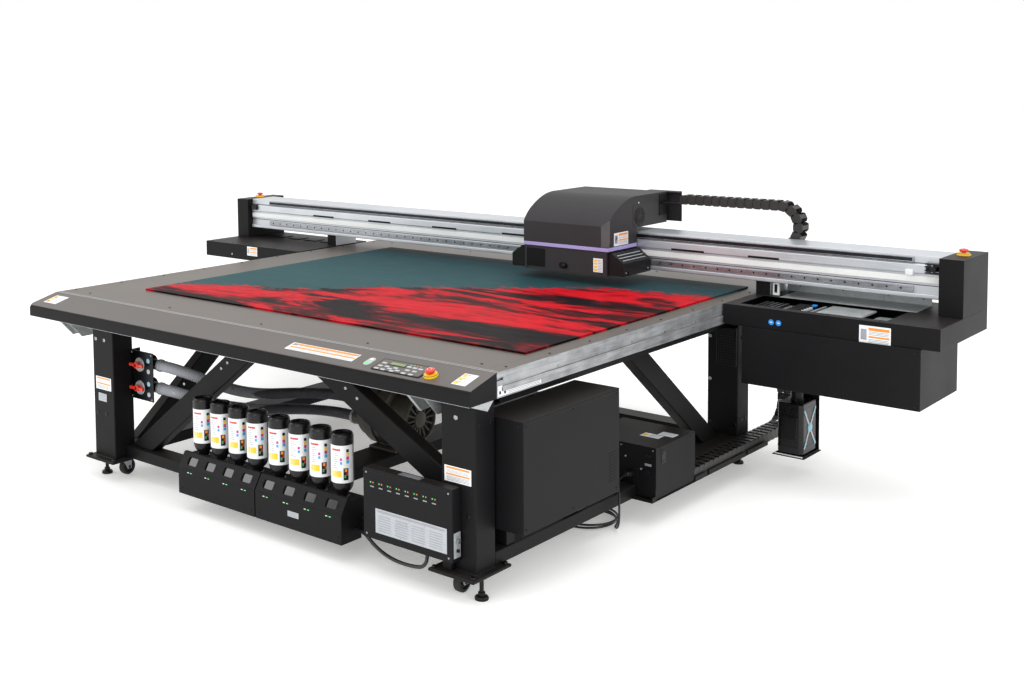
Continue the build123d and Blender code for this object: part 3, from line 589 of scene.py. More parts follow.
areaLight("overhead", (0.5, -0.5, 5.2), (0, 0, 0.8), (6, 4), 90)
areaLight("leftSoftbox", (-5.0, -4.0, 3.2), (0, 0, 0.7), (3, 3), 60)
areaLight("frontSoftbox", (2.5, -7.0, 3.0), (0.3, 0, 0.7), (4, 2.5), 80)
areaLight("rightSoftbox", (7.0, -0.5, 2.6), (0.8, 0, 0.7), (3, 3), 70)
world = bpy.data.worlds.new("studioWorld")
world.use_nodes = True
world.node_tree.nodes["Background"].inputs[0].default_value = linear("#FFFFFF")
world.node_tree.nodes["Background"].inputs[1].default_value = studio["worldStrength"]
scene.world = world

floor = bmesh.new()
bmesh.ops.create_grid(floor, x_segments=1, y_segments=1, size=40)
floorData = bpy.data.meshes.new("floor")
floor.to_mesh(floorData)
floor.free()
floorPiece = bpy.data.objects.new("floor", floorData)
scene.collection.objects.link(floorPiece)
finishes["floorPaper"] = {"colour": "#F4F4F3", "second": "#F8F8F7", "rough": 0.8, "spread": 0.05, "grain": 30,
                          "height": 0.01, "patch": 900, "gloss": 0.1, "glow": 0.3, "slot": "print_film"}
floorData.materials.append(finish("floorPaper"))
scene.view_settings.view_transform = "Standard"

# ---------- CAD pieces with rolled edges ----------


# faces that point up get the second finish: painted light from above on the black coat
def upFacing(face):
    return 1 if face.normal.z > 0.7 else 0


# legs, beams and braces: their upward faces get painted light, the braces from a gentler slope
softened("legs", "machine", ["blackPowderCoat", "topLitPowderCoat"], 0.004, upFacing)
softened("frame_beams", "machine", ["blackPowderCoat", "topLitPowderCoat"], 0.004, upFacing)
softened("braces", "machine", ["blackPowderCoat", "topLitPowderCoat"], 0.004, lambda f: 1 if f.normal.z > 0.3 else 0)


def railFinish(face):
    return 0 if face.normal.z > 0.7 else 1


softened("bed_table", "machine", ["taupeAnodised"], 0.0008)
softened("bed_side_rails", "machine", ["taupeAnodised", "brushedAluminium"], 0.0012, railFinish)


def panelFinish(face):
    # faces that point up take the lighter paint, painted light on the slope; the rest stays black
    return 0 if face.normal.z > 0.5 else 1


nose = {"y": -1.245, "z": 0.756, "near": 0.001, "radius": 0.014}


def roundNose(work):
    # the folded front edge of the panel has a wide bend
    edges = [e for e in work.edges if all(abs(v.co.y - nose["y"]) < nose["near"] and
                                          abs(v.co.z - nose["z"]) < nose["near"] for v in e.verts)]
    bmesh.ops.bevel(work, geom=edges, offset=nose["radius"], offset_type="OFFSET", segments=6, profile=0.5,
                    affect="EDGES", clamp_overlap=True, material=-1)


softened("front_panel", "machine", ["slopeLitPaint", "blackPowderCoat"], 0.0012, panelFinish, roundNose)
softened("front_brackets", "machine", ["zincPlate"], 0.0008)
softened("electrics_cabinet", "machine", ["blackPowderCoat", "topLitPowderCoat"], 0.003, upFacing)
softened("power_box", "machine", ["blackPowderCoat", "topLitPowderCoat"], 0.002, upFacing)
softened("chain_tray", "machine", ["blackPowderCoat", "topLitPowderCoat"], 0.0006, upFacing)
softened("end_covers", "gantry", ["blackPowderCoat", "topLitPowderCoat"], 0.002, upFacing)
softened("side_trays", "gantry", ["blackPowderCoat", "topLitPowderCoat"], 0.002, upFacing)
softened("lower_cover", "gantry", ["blackPowderCoat"], 0.002)
planed = {"right": 0.676, "front": 0.580, "across": 0.036, "deep": 0.021}


def pared(work):
    # only the outside of the housing, with its right front corner planed off
    left = set(work.verts)
    shells = []
    while left:
        shell, edge = set(), [left.pop()]
        while edge:
            vert = edge.pop()
            shell.add(vert)
            for link in vert.link_edges:
                other = link.other_vert(vert)
                if other in left:
                    left.remove(other)
                    edge.append(other)
        shells.append(shell)
    shells.sort(key=lambda shell: max(v.co.z for v in shell))
    for shell in shells[:-1]:
        bmesh.ops.delete(work, geom=list(shell), context="VERTS")
    outward = Vector((planed["deep"], -planed["across"], 0)).normalized()
    start = Vector((planed["right"] - planed["across"], planed["front"], 0))
    everything = work.verts[:] + work.edges[:] + work.faces[:]
    cut = bmesh.ops.bisect_plane(work, geom=everything, dist=1e-6, plane_co=start, plane_no=outward,
                                 clear_outer=True)["geom_cut"]
    rim = [e for e in cut if isinstance(e, bmesh.types.BMEdge) and len(e.link_faces) == 1]
    bmesh.ops.contextual_create(work, geom=rim)
    bmesh.ops.recalc_face_normals(work, faces=work.faces)


def coverFinish(face):
    # the chamfer that faces right and forward takes the lighter paint: a painted highlight
    return 1 if abs(face.normal.x) > 0.3 and face.normal.y < -0.3 else 0


softened("carriage_cover", "carriage", ["charcoalPaint", "chamferHighlightPaint"], 0.0015, coverFinish, pared)
softened("uv_lamps", "carriage", ["blackMoulding"], 0.0015)
softened("waste_shelf", "gantry", ["blackPowderCoat"], 0.001)
print("CAD pieces dressed")

# ---------- printed board ----------
artSettings = {"teal": "#264C50", "tealDeep": "#1C3A40", "red": "#A60814", "redDeep": "#55040E", "dark": "#0C0205",
               "ember": "#C90E20", "foldMm": 520, "fineMm": 90, "splashMm": 22, "turn": math.radians(-24)}
# where the red begins: heights in Y at evenly spaced places across the board, left to right
artSettings["edge"] = (-0.62, -0.46, -0.36, -0.10, 0.10, 0.30, 0.52, 0.60, 0.66)


def artMaterial():
    # a made-up print: a soft dark teal field, and below it long red folds with black hollows and a spray
    # of drops along their edge; digital ink on board, satin and perfectly flat
    material = bpy.data.materials.new("printedInkOnBoard")
    material.use_nodes = True
    tree = material.node_tree
    tree.nodes.clear()
    place = addNode(tree, "ShaderNodeTexCoord").outputs["Object"]
    split = addNode(tree, "ShaderNodeSeparateXYZ", {0: place})
    pulled = addNode(tree, "ShaderNodeMapping", {"Vector": place, "Scale": (0.5, 1.9, 1),
                                                 "Rotation": (0, 0, artSettings["turn"])})
    fold = addNode(tree, "ShaderNodeTexNoise", {"Vector": pulled.outputs[0],
                                                "Scale": 1000 / artSettings["foldMm"], "Detail": 7,
                                                "Roughness": 0.58, "Distortion": 1.5})
    fine = addNode(tree, "ShaderNodeTexNoise", {"Vector": pulled.outputs[0],
                                                "Scale": 1000 / artSettings["fineMm"], "Detail": 3,
                                                "Distortion": 0.6})
    splash = addNode(tree, "ShaderNodeTexNoise", {"Vector": place, "Scale": 1000 / artSettings["splashMm"],
                                                  "Detail": 4})
    along = addNode(tree, "ShaderNodeMapRange", {"Value": split.outputs[0], "From Min": low.x, "From Max": high.x})
    edge = addNode(tree, "ShaderNodeFloatCurve", {"Value": along.outputs[0]})
    points = edge.mapping.curves[0].points
    heights = artSettings["edge"]
    while len(points) < len(heights):
        points.new(0.5, 0.5)
    for i, height in enumerate(heights):
        points[i].location = (i / (len(heights) - 1), (height + 1) / 2)
    edge.mapping.update()
    lifted = addNode(tree, "ShaderNodeMapRange", {"Value": edge.outputs[0], "To Min": -1, "To Max": 1})
    spray = addNode(tree, "ShaderNodeMath", {0: splash.outputs[0], 1: 0.34}, operation="MULTIPLY")
    ragged = addNode(tree, "ShaderNodeMath", {0: fine.outputs[0], 1: 0.16}, operation="MULTIPLY")
    both = addNode(tree, "ShaderNodeMath", {0: spray.outputs[0], 1: ragged.outputs[0]}, operation="ADD")
    reach = addNode(tree, "ShaderNodeMath", {0: lifted.outputs[0], 1: both.outputs[0]}, operation="ADD")
    line = addNode(tree, "ShaderNodeMath", {0: reach.outputs[0], 1: split.outputs[1]}, operation="SUBTRACT")
    isRed = addNode(tree, "ShaderNodeMapRange", {"Value": line.outputs[0], "From Min": 0.24, "From Max": 0.29})
    field = addNode(tree, "ShaderNodeMapRange", {"Value": split.outputs[1], "From Min": 0.1, "From Max": 0.95})
    teal = addNode(tree, "ShaderNodeMix", {0: field.outputs[0], 6: linear(artSettings["teal"]),
                                           7: linear(artSettings["tealDeep"])}, data_type="RGBA")
    # folds get darker towards the front
    sink = addNode(tree, "ShaderNodeMapRange", {"Value": split.outputs[1], "From Min": -0.95, "From Max": 0.5,
                                                "To Min": -0.07, "To Max": 0.05})
    detail = addNode(tree, "ShaderNodeMath", {0: fine.outputs[0], 1: 0.3}, operation="MULTIPLY")
    deep = addNode(tree, "ShaderNodeMath", {0: fold.outputs[0], 1: sink.outputs[0]}, operation="ADD")
    shade = addNode(tree, "ShaderNodeMath", {0: deep.outputs[0], 1: detail.outputs[0]}, operation="ADD")
    ramp = addNode(tree, "ShaderNodeValToRGB", {0: shade.outputs[0]})
    stops = ((0.54, "dark"), (0.60, "redDeep"), (0.65, "red"), (0.72, "ember"), (0.78, "red"), (0.86, "redDeep"))
    while len(ramp.color_ramp.elements) < len(stops):
        ramp.color_ramp.elements.new(0.5)
    for element, (where, key) in zip(ramp.color_ramp.elements, stops):
        element.position = where
        element.color = linear(artSettings[key])
    mixed = addNode(tree, "ShaderNodeMix", {0: isRed.outputs[0], 6: teal.outputs[2], 7: ramp.outputs[0]},
                    data_type="RGBA")
    sheen = addNode(tree, "ShaderNodeMapRange", {"Value": fine.outputs[0], "To Min": 0.46, "To Max": 0.56})
    bump = addNode(tree, "ShaderNodeBump", {"Height": splash.outputs[0], "Strength": 0.3, "Distance": 0.00002})
    shader = addNode(tree, "ShaderNodeBsdfPrincipled", {"Base Color": mixed.outputs[2], "Normal": bump.outputs[0],
                                                        "Roughness": sheen.outputs[0],
                                                        "Specular IOR Level": 0.05})
    addNode(tree, "ShaderNodeOutputMaterial", {0: shader.outputs[0]})
    return material


low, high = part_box("printed_board")
made["printedInkOnBoard"] = artMaterial()
finishes["printedInkOnBoard"] = {"slot": "print_film"}
board = Piece("printed_board_sheet")
board.add(cuboid(low, high, 0.0004), "printedInkOnBoard")
board.done("machine", ["printed_board"])

# ---------- bed and front panel ----------
panel = {"back": -1.092, "front": -1.245, "top": 0.795, "nose": 0.756}
slope = math.atan2(panel["top"] - panel["nose"], panel["back"] - panel["front"])
slopeUp = Vector((0, math.cos(slope), math.sin(slope)))
slopeOut = Vector((0, -math.sin(slope), math.cos(slope)))


def onPanel(x, y, lift=0.0):
    return Vector((x, y, panel["top"] - (panel["back"] - y) * math.tan(slope))) + slopeOut * lift


trim = Piece("bed_trim")
# two bright aluminium strips along the bed's joint with the panel: a painted highlight on the joint's edges
for y in (-1.0935, -1.078):
    trim.add(cuboid((-1.366, y - 0.0012, 0.7945), (1.266, y + 0.0012, 0.7956), 0.0003), "drawnAluminium")
trim.add(cuboid((-1.368, -1.2450, 0.7008), (1.268, -1.2430, 0.7022), 0.0003), "greyMoulding")
for side in (-1, 1):
    # a facing strip over the rail's groove
    near, far = sorted((-0.050 + side * 1.3190, -0.050 + side * 1.3206))
    trim.add(cuboid((near, -1.0560, 0.7460), (far, 1.2440, 0.7935), 0.0003), "brushedAluminium")
for x in (-1.2, -0.6, 0.0, 0.6, 1.15):
    for y in (-1.02, 1.17):
        trim.screw((x, y, 0.795), (0, 0, 1), 0.005, "darkSteel")
for x in (-1.342, 1.242):
    for i in range(9):
        trim.screw((x, -1.0 + i * 0.27, 0.795), (0, 0, 1), 0.005, "darkSteel")
for i in range(8):
    trim.screw((1.2702, -0.72 + i * 0.26, 0.752), (1, 0, 0), 0.004, "groundSteel")
trim.done("machine")

labels = Piece("bed_labels")
labels.sticker(onPanel(0.502, -1.171, 0.0003), (1, 0, 0), slopeUp, 0.358, 0.058,
               [(0.10, 0.72, 0.99, 0.94, "orangeInk"), (0.03, 0.34, 0.99, 0.5, "orangeInk"),
                (0.02, 0.62, 0.10, 0.92, "greyInk")]
               + [(0.05, 0.06 + 0.09 * i, 0.95, 0.085 + 0.09 * i, "greyInk") for i in range(3)]
               + [(0.14, 0.56 + 0.05 * i, 0.95, 0.575 + 0.05 * i, "greyInk") for i in range(3)])
labels.sticker(onPanel(1.196, -1.175, 0.0003), (1, 0, 0), slopeUp, 0.062, 0.084,
               [(0.06, 0.06 + 0.32 * i, 0.34, 0.22 + 0.32 * i, "yellowInk") for i in range(3)]
               + [(0.06, 0.24 + 0.32 * i, 0.5, 0.29 + 0.32 * i, "orangeInk") for i in range(3)]
               + [(0.42, 0.06 + 0.1 * i, 0.94, 0.08 + 0.1 * i, "greyInk") for i in range(9)])
labels.sticker(onPanel(-1.268, -1.165, 0.0003), (1, 0, 0), slopeUp, 0.098, 0.080,
               [(0.06, 0.10, 0.30, 0.34, "orangeInk"), (0.06, 0.42, 0.30, 0.60, "yellowInk"),
                (0.06, 0.68, 0.30, 0.88, "orangeInk")]
               + [(0.38, 0.12 + 0.12 * i, 0.94, 0.15 + 0.12 * i, "greyInk") for i in range(7)])
labels.sticker((1.2702, -0.957, 0.7265), (0, 1, 0), (0, 0, 1), 0.262, 0.037,
               [(0.24, 0.66, 0.98, 0.92, "orangeInk"), (0.03, 0.2, 0.07, 0.5, "blackMoulding"),
                (0.09, 0.45, 0.13, 0.8, "blackMoulding"), (0.14, 0.15, 0.18, 0.42, "blackMoulding")]
               + [(0.24, 0.1 + 0.14 * i, 0.96, 0.14 + 0.14 * i, "greyInk") for i in range(4)])
labels.done("machine")

keys = {"places": ((0.822, -1.170), (0.821, -1.193), (0.820, -1.214), (0.852, -1.191), (0.851, -1.215),
                   (0.874, -1.202), (0.893, -1.191), (0.892, -1.214), (0.912, -1.205), (0.937, -1.167),
                   (0.965, -1.168), (0.992, -1.169), (0.948, -1.191), (0.980, -1.190), (0.948, -1.214),
                   (0.982, -1.214)), "lift": 0.0025}
pad = Piece("keypad")
pad.add(plaque(onPanel(0.910, -1.180, 0.002), (1, 0, 0), slopeUp, 0.230, 0.086, 0.0008, 0.0002, 0.006),
        "blackMoulding")
pad.add(plaque(onPanel(0.910, -1.180, 0.0024), (1, 0, 0), slopeUp, 0.220, 0.076, 0.0008, 0.0002, 0.004),
        "slopeLitPaint")
for x, y in keys["places"]:
    pad.add(plaque(onPanel(x, y, 0.003), (1, 0, 0), slopeUp, 0.021, 0.0105, 0.0016, 0.0005, 0.003), "greyMoulding")
pad.add(plaque(onPanel(0.884, -1.166, 0.003), (1, 0, 0), slopeUp, 0.080, 0.024, 0.002, 0.0004, 0.002),
        "smokedWindow")
pad.add(plaque(onPanel(0.884, -1.166, 0.005), (1, 0, 0), slopeUp, 0.068, 0.015, 0.0004, 0.0001), "displayGlass")
for x, ink in ((0.935, "greenLens"), (0.950, "greenLens"), (0.965, "orangeInk"), (0.980, "greenLens")):
    pad.add(plaque(onPanel(x, -1.152, 0.003), (1, 0, 0), slopeUp, 0.006, 0.003, 0.0008, 0.0002), ink)
pad.done("machine")

low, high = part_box("power_button")
start = Piece("power_button_cap")
start.add(plaque(onPanel(0.752, -1.176, -0.006), (1, 0, 0), slopeUp, 0.0310, 0.0588, 0.0095, 0.0016, 0.0152),
          "greyMoulding")
start.add(plaque(onPanel(0.752, -1.190, 0.0033), (1, 0, 0), slopeUp, 0.016, 0.017, 0.0012, 0.0004, 0.0078),
          "greenLens")
start.add(plaque(onPanel(0.752, -1.163, 0.0033), (1, 0, 0), slopeUp, 0.015, 0.013, 0.0008, 0.0003, 0.006),
          "whiteLabel")
start.done("power_button", ["power_button"])


def stopHead(name, node, body, base, out, lift):
    # emergency stop: a domed head with a rolled rim on a short neck
    s = {"rim": 0.019, "neck": 0.0145, "high": 0.015}
    b = lift
    profile = [(0, b - 0.012), (0.0082, b - 0.012), (0.0082, b), (s["neck"], b + 0.0005), (s["rim"] - 0.002, b + 0.002),
               (s["rim"], b + 0.005), (s["rim"], b + 0.008), (s["rim"] - 0.0022, b + 0.0108), (0.012, b + 0.0132),
               (0.006, b + 0.0142), (0, b + 0.0145)]
    head = Piece(name)
    head.add(turned(profile, base, out, 40), "redMoulding")
    for i in range(3):
        angle = i * 2.094
        side = Vector((1, 0, 0)) if abs(out.z) > 0.5 else Vector((0, 0, 1))
        ahead = out.cross(side).normalized()
        spot = base + out * (b + 0.0136) + (side * math.cos(angle) + ahead * math.sin(angle)) * 0.008
        around = -side * math.sin(angle) + ahead * math.cos(angle)
        head.add(plaque(spot, around, out.cross(around), 0.007, 0.0022, 0.0007, 0.0002), "whiteLabel")
    head.done(body, [node])
    ring = Piece(name + "_ring")
    ring.add(turned([(0.0092, 0.0002), (0.0272, 0.0002), (0.0280, 0.003), (0.0270, 0.0085), (0.0235, 0.0108),
                     (0.0092, 0.0108), (0.0092, 0.0002)], base, out, 48), "yellowMoulding")
    return ring


stopHead("panel_stop_head", "panel_stop_button", "panel_stop", onPanel(1.058, -1.192), slopeOut, 0.015).done("machine")
for side, x in (("right", 2.151), ("left", -2.151)):
    stopHead("gantry_stop_head_" + side, "gantry_stop_" + side, "gantry_stop_" + side,
             Vector((x, 0.975, 1.038)), Vector((0, 0, 1)), 0.015).done("gantry")
print("bed and panel dressed")

# ---------- frame details ----------
bolts = Piece("frame_bolts")
for x, y, z in ((1.165, -1.190, 0.640), (1.135, -1.190, 0.30), (1.215, -1.190, 0.30), (-0.925, -1.190, 0.640),
                (-0.862, -1.190, 0.640), (-0.925, -1.190, 0.30), (-0.862, -1.190, 0.30), (1.112, 0.760, 0.60),
                (1.112, 0.760, 0.40), (1.112, 0.760, 0.20), (1.235, 0.760, 0.20)):
    bolts.screw((x, y, z), (0, -1, 0), 0.009, "groundSteel" if z > 0.35 else "darkSteel")
for y, z in ((-1.17, 0.62), (-1.10, 0.62), (0.80, 0.60), (0.84, 0.60), (0.80, 0.22), (0.84, 0.22)):
    bolts.screw((1.250, y, z), (1, 0, 0), 0.008, "darkSteel")
for x, y, z in ((-0.407, -1.105, 0.495), (-0.479, -1.105, 0.443), (0.62, -1.105, 0.60), (0.56, -1.105, 0.63),
                (-0.16, -1.105, 0.60), (-0.12, -1.105, 0.63)):
    bolts.screw((x, y, z), (0, -1, 0), 0.007, "groundSteel")
for x, y in ((1.092, -1.225), (1.262, -1.225), (1.092, -1.04), (1.262, -1.04), (-0.965, -1.208), (-0.79, -1.208),
             (1.095, 0.748), (1.258, 0.752), (1.095, 0.895), (1.258, 0.895)):
    bolts.add(turned([(0, 0.008), (0.009, 0.008), (0.010, 0.007), (0.010, 0), (0, 0)], (x, y, 0.100), (0, 0, 1), 6),
              "darkSteel")
bolts.done("machine")

legLabels = Piece("leg_labels")
bars = [(0.06, 0.82, 0.94, 0.94, "orangeInk"), (0.06, 0.42, 0.94, 0.52, "orangeInk")]
lines = [(0.08, 0.08 + 0.08 * i, 0.92, 0.11 + 0.08 * i, "greyInk") for i in range(4)]
lines += [(0.08, 0.58 + 0.07 * i, 0.92, 0.60 + 0.07 * i, "greyInk") for i in range(3)]
legLabels.sticker((1.172, -1.1902, 0.437), (1, 0, 0), (0, 0, 1), 0.118, 0.056, bars + lines)
legLabels.sticker((-0.875, -1.1902, 0.44), (1, 0, 0), (0, 0, 1), 0.112, 0.058, bars + lines)
legLabels.sticker((-0.885, -1.1902, 0.375), (1, 0, 0), (0, 0, 1), 0.060, 0.036,
                  [(0.1, 0.2 + 0.2 * i, 0.9, 0.28 + 0.2 * i, "greyInk") for i in range(4)], "silverLabel")
legLabels.done("machine")

guard = {"x": (1.153, 1.249), "y": (0.735, 0.7595), "z": (0.475, 0.655), "across": 7, "up": 13}
cover = Piece("rear_leg_guard")
cover.add(cuboid((guard["x"][0], guard["y"][0], guard["z"][0]), (guard["x"][1], guard["y"][1], guard["z"][1]), 0.006, 3),
          "blackPowderCoat")
for i in range(guard["across"]):
    for j in range(guard["up"]):
        x = guard["x"][0] + 0.014 + i * 0.0112
        z = guard["z"][0] + 0.016 + j * 0.0122
        cover.add(rod((x, guard["y"][0] - 0.0003, z), (x, guard["y"][0] + 0.002, z), 0.0028, 6), "darkSteel")
cover.done("machine")
print("frame dressed")

# ---------- casters and levelling feet ----------
corners = {"front_right": ((1.149, -1.162), (1.239, -1.147)), "front_left": ((-0.852, -1.109), (-0.941, -1.136)),
           "rear_right": ((1.125, 0.825), (1.215, 0.840)), "rear_left": ((-0.852, 0.825), (-0.941, 0.840))}
feet = Piece("levelling_feet_turned")
for corner, ((x, y), (fx, fy)) in corners.items():
    fork = Piece("fork_" + corner)
    ax, az = y + 0.020, 0.039
    fork.add(turned([(0, 0.0875), (0.026, 0.0875), (0.026, 0.0845), (0.022, 0.0795), (0, 0.0795)], (x, y, 0), (0, 0, 1),
                    28), "groundSteel")
    fork.add(cuboid((x - 0.0195, y - 0.018, 0.0795), (x + 0.0195, y + 0.032, 0.0838), 0.0015), "groundSteel")
    for side in (-1, 1):
        inner, outer = sorted((x + side * 0.0162, x + side * 0.0192))
        cheek = [(y - 0.018, 0.082), (y + 0.032, 0.082), (ax + 0.011, az - 0.008), (ax - 0.011, az - 0.008)]
        fork.add(prism(cheek, "x", inner, outer, 0.0007), "groundSteel")
        fork.add(turned([(0, 0.0026), (0.0055, 0.0026), (0.0075, 0.0016), (0.0075, 0), (0, 0)],
                        (x + side * 0.0190, ax, az), (side, 0, 0), 6), "darkSteel")
    fork.add(rod((x - 0.020, ax, az), (x + 0.020, ax, az), 0.0046, 12), "groundSteel")
    fork.done("caster_fork_" + corner, ["caster_fork_" + corner])
    wheel = Piece("wheel_" + corner)
    wheel.add(turned([(0.026, -0.0145), (0.033, -0.0148), (0.0368, -0.0115), (0.0375, -0.005), (0.0375, 0.005),
                      (0.0368, 0.0115), (0.033, 0.0148), (0.026, 0.0145), (0.026, -0.0145)], (x, ax, az), (1, 0, 0), 40),
              "tyreRubber")
    wheel.add(turned([(0.0051, -0.0148), (0.010, -0.0148), (0.012, -0.009), (0.022, -0.008), (0.0262, -0.0125),
                      (0.0262, 0.0125), (0.022, 0.008), (0.012, 0.009), (0.010, 0.0148), (0.0051, 0.0148),
                      (0.0051, -0.0148)], (x, ax, az), (1, 0, 0), 32), "blackMoulding")
    wheel.done("caster_wheel_" + corner, ["caster_wheel_" + corner])
    feet.add(turned([(0, 0), (0.0245, 0), (0.025, 0.002), (0.025, 0.008), (0.022, 0.0125), (0.013, 0.015),
                     (0.013, 0.026), (0.008, 0.0265), (0.0078, 0.076), (0, 0.076)], (fx, fy, 0), (0, 0, 1), 36),
             "blackMoulding")
    for i in range(16):
        z = 0.028 + i * 0.003
        feet.add(turned([(0.0070, z - 0.001), (0.0079, z), (0.0070, z + 0.001), (0.0070, z - 0.001)], (fx, fy, 0),
                        (0, 0, 1), 16), "groundSteel")
    feet.add(turned([(0, 0.076), (0.0128, 0.076), (0.0140, 0.078), (0.0140, 0.086), (0.0128, 0.088), (0, 0.088)],
                    (fx, fy, 0), (0, 0, 1), 6), "groundSteel")
feet.done("machine", ["levelling_feet"])
print("casters and feet turned")

# ---------- ink bottles ----------
bottle = {"places": (-0.217, -0.106, 0.006, 0.117, 0.245, 0.360, 0.475, 0.590), "y": -1.160, "radius": 0.044,
          "low": 0.176, "high": 0.479, "labelLow": 0.292, "labelHigh": 0.436, "facing": math.radians(-58)}


def wrapped(piece, middle, radius, start, end, low, high, name, thick=0.0003):
    # a print that follows the bottle: a thin section spun part of the way round
    part = bmesh.new()
    corners = [(radius, low), (radius + thick, low), (radius + thick, high), (radius, high)]
    face = part.faces.new([part.verts.new((r * math.cos(start), r * math.sin(start), z)) for r, z in corners])
    bmesh.ops.spin(part, geom=[face], cent=(0, 0, 0), axis=(0, 0, 1), angle=end - start,
                   steps=max(2, int(abs(end - start) / 0.2)), use_merge=False)
    bmesh.ops.recalc_face_normals(part, faces=part.faces)
    bmesh.ops.translate(part, vec=(middle[0], middle[1], 0), verts=part.verts)
    piece.add(part, name)


bottlePrint = [(0.08, 0.86, 0.52, 0.91, "redInk"), (0.06, 0.16, 0.56, 0.33, "yellowInk"),
               (0.66, 0.08, 0.90, 0.40, "blackMoulding"), (0.72, 0.30, 0.84, 0.38, "orangeInk"),
               (0.70, 0.14, 0.78, 0.22, "greenInk"), (0.80, 0.20, 0.88, 0.28, "redInk"),
               (0.80, 0.82, 0.94, 0.90, "blackMoulding"), (0.80, 0.72, 0.94, 0.81, "yellowInk"),
               (0.80, 0.62, 0.94, 0.71, "magentaInk"), (0.80, 0.52, 0.94, 0.61, "cyanInk"),
               (0.50, 0.60, 0.60, 0.67, "magentaInk"), (0.50, 0.50, 0.60, 0.57, "cyanInk")]
bottlePrint += [(0.08, 0.40 + 0.055 * i, 0.40 - 0.04 * (i % 3), 0.415 + 0.055 * i, "greyInk") for i in range(8)]
for number, x in enumerate(bottle["places"], 1):
    r, low, high = bottle["radius"], bottle["low"], bottle["high"]
    body = Piece("ink_bottle_body_" + str(number))
    middle = (x, bottle["y"], 0)
    profile = [(0, low), (0.0185, low), (0.019, low + 0.002), (0.019, 0.238), (0.0235, 0.249), (0.034, 0.259),
               (0.040, 0.270), (0.0425, 0.283), (0.0432, 0.291), (0.0432, 0.437), (0.0438, 0.4375), (r, 0.439), (r, 0.452),
               (0.0432, 0.4532), (0.0432, 0.4552), (r, 0.4565), (r, 0.466), (0.0425, 0.4735), (0.0385, 0.4782),
               (0.0345, 0.479), (0.0312, 0.4772), (0.0292, 0.4735), (0.027, 0.4722), (0.012, 0.4712), (0, 0.4710)]
    body.add(turned(profile, middle, steps=48), "blackPolyethylene")
    for i in range(20):
        angle = i * 2 * math.pi / 20
        spot = Vector((x + 0.0188 * math.cos(angle), bottle["y"] + 0.0188 * math.sin(angle), 0.246))
        body.add(plaque(spot, (-math.sin(angle), math.cos(angle), 0), (0, 0, 1), 0.0022, 0.016, 0.0016, 0.0003),
                 "blackMoulding")
    wide = 2.62
    turnBy = bottle["facing"] + 0.05 * math.sin(number * 2.3)
    wrapped(body, middle, r - 0.0004, turnBy - wide / 2, turnBy + wide / 2, bottle["labelLow"], bottle["labelHigh"],
            "whiteLabel")
    tall = bottle["labelHigh"] - bottle["labelLow"]
    for left, bottom, far, top, ink in bottlePrint:
        wrapped(body, middle, r - 0.0001, turnBy + wide * (left - 0.5) * 0.72, turnBy + wide * (far - 0.5) * 0.72,
                bottle["labelLow"] + tall * bottom, bottle["labelLow"] + tall * top, ink, 0.0002)
    body.done("ink_bottle_" + str(number), ["ink_bottle_" + str(number)])

# ---------- ink racks ----------
softened("ink_racks", "machine", ["blackPowderCoat", "topLitPowderCoat"], 0.0015, upFacing)
rack = Piece("ink_rack_windows")
rackUp = Vector((0, 0.036, 0.060)).normalized()
rackOut = Vector((0, -0.060, 0.036)).normalized()
for number, x in enumerate(bottle["places"]):
    middle = Vector((x, -1.224, 0.216))
    rack.add(plaque(middle - rackOut * 0.0075, (1, 0, 0), rackUp, 0.0555, 0.0335, 0.002, 0.0002, 0.0055), "smokedWindow")
    for dx, dz in ((-0.0300, 0), (0.0300, 0)):
        rack.screw(middle + Vector((dx * 1.15, 0, 0)), rackOut, 0.003, "darkSteel")
    rack.add(turned([(0.0192, 0.2335), (0.0245, 0.2335), (0.0250, 0.2322), (0.0192, 0.2322), (0.0192, 0.2335)],
                    (x, bottle["y"], 0), steps=32), "groundSteel")
    for i, ink in enumerate(("whiteLabel", "greenLens")):
        rack.add(plaque((x - 0.010 + i * 0.018, -1.2422, 0.172), (1, 0, 0), (0, 0, 1), 0.010, 0.0032, 0.0006, 0.0002), ink)
for x0, x1 in ((-0.290, 0.180), (0.186, 0.657)):
    for x in (x0 + 0.02, (x0 + x1) / 2, x1 - 0.02):
        rack.screw((x, -1.242, 0.100), (0, -1, 0), 0.0035, "darkSteel")
    rack.add(cuboid((x0 + 0.012, -1.2436, 0.183), (x1 - 0.012, -1.2418, 0.1845), 0.0002), "darkSteel")
rack.sticker((0.40, -1.2422, 0.135), (1, 0, 0), (0, 0, 1), 0.060, 0.022,
             [(0.08, 0.2 + 0.25 * i, 0.9, 0.3 + 0.25 * i, "greyInk") for i in range(3)], "silverLabel")
rack.done("machine")

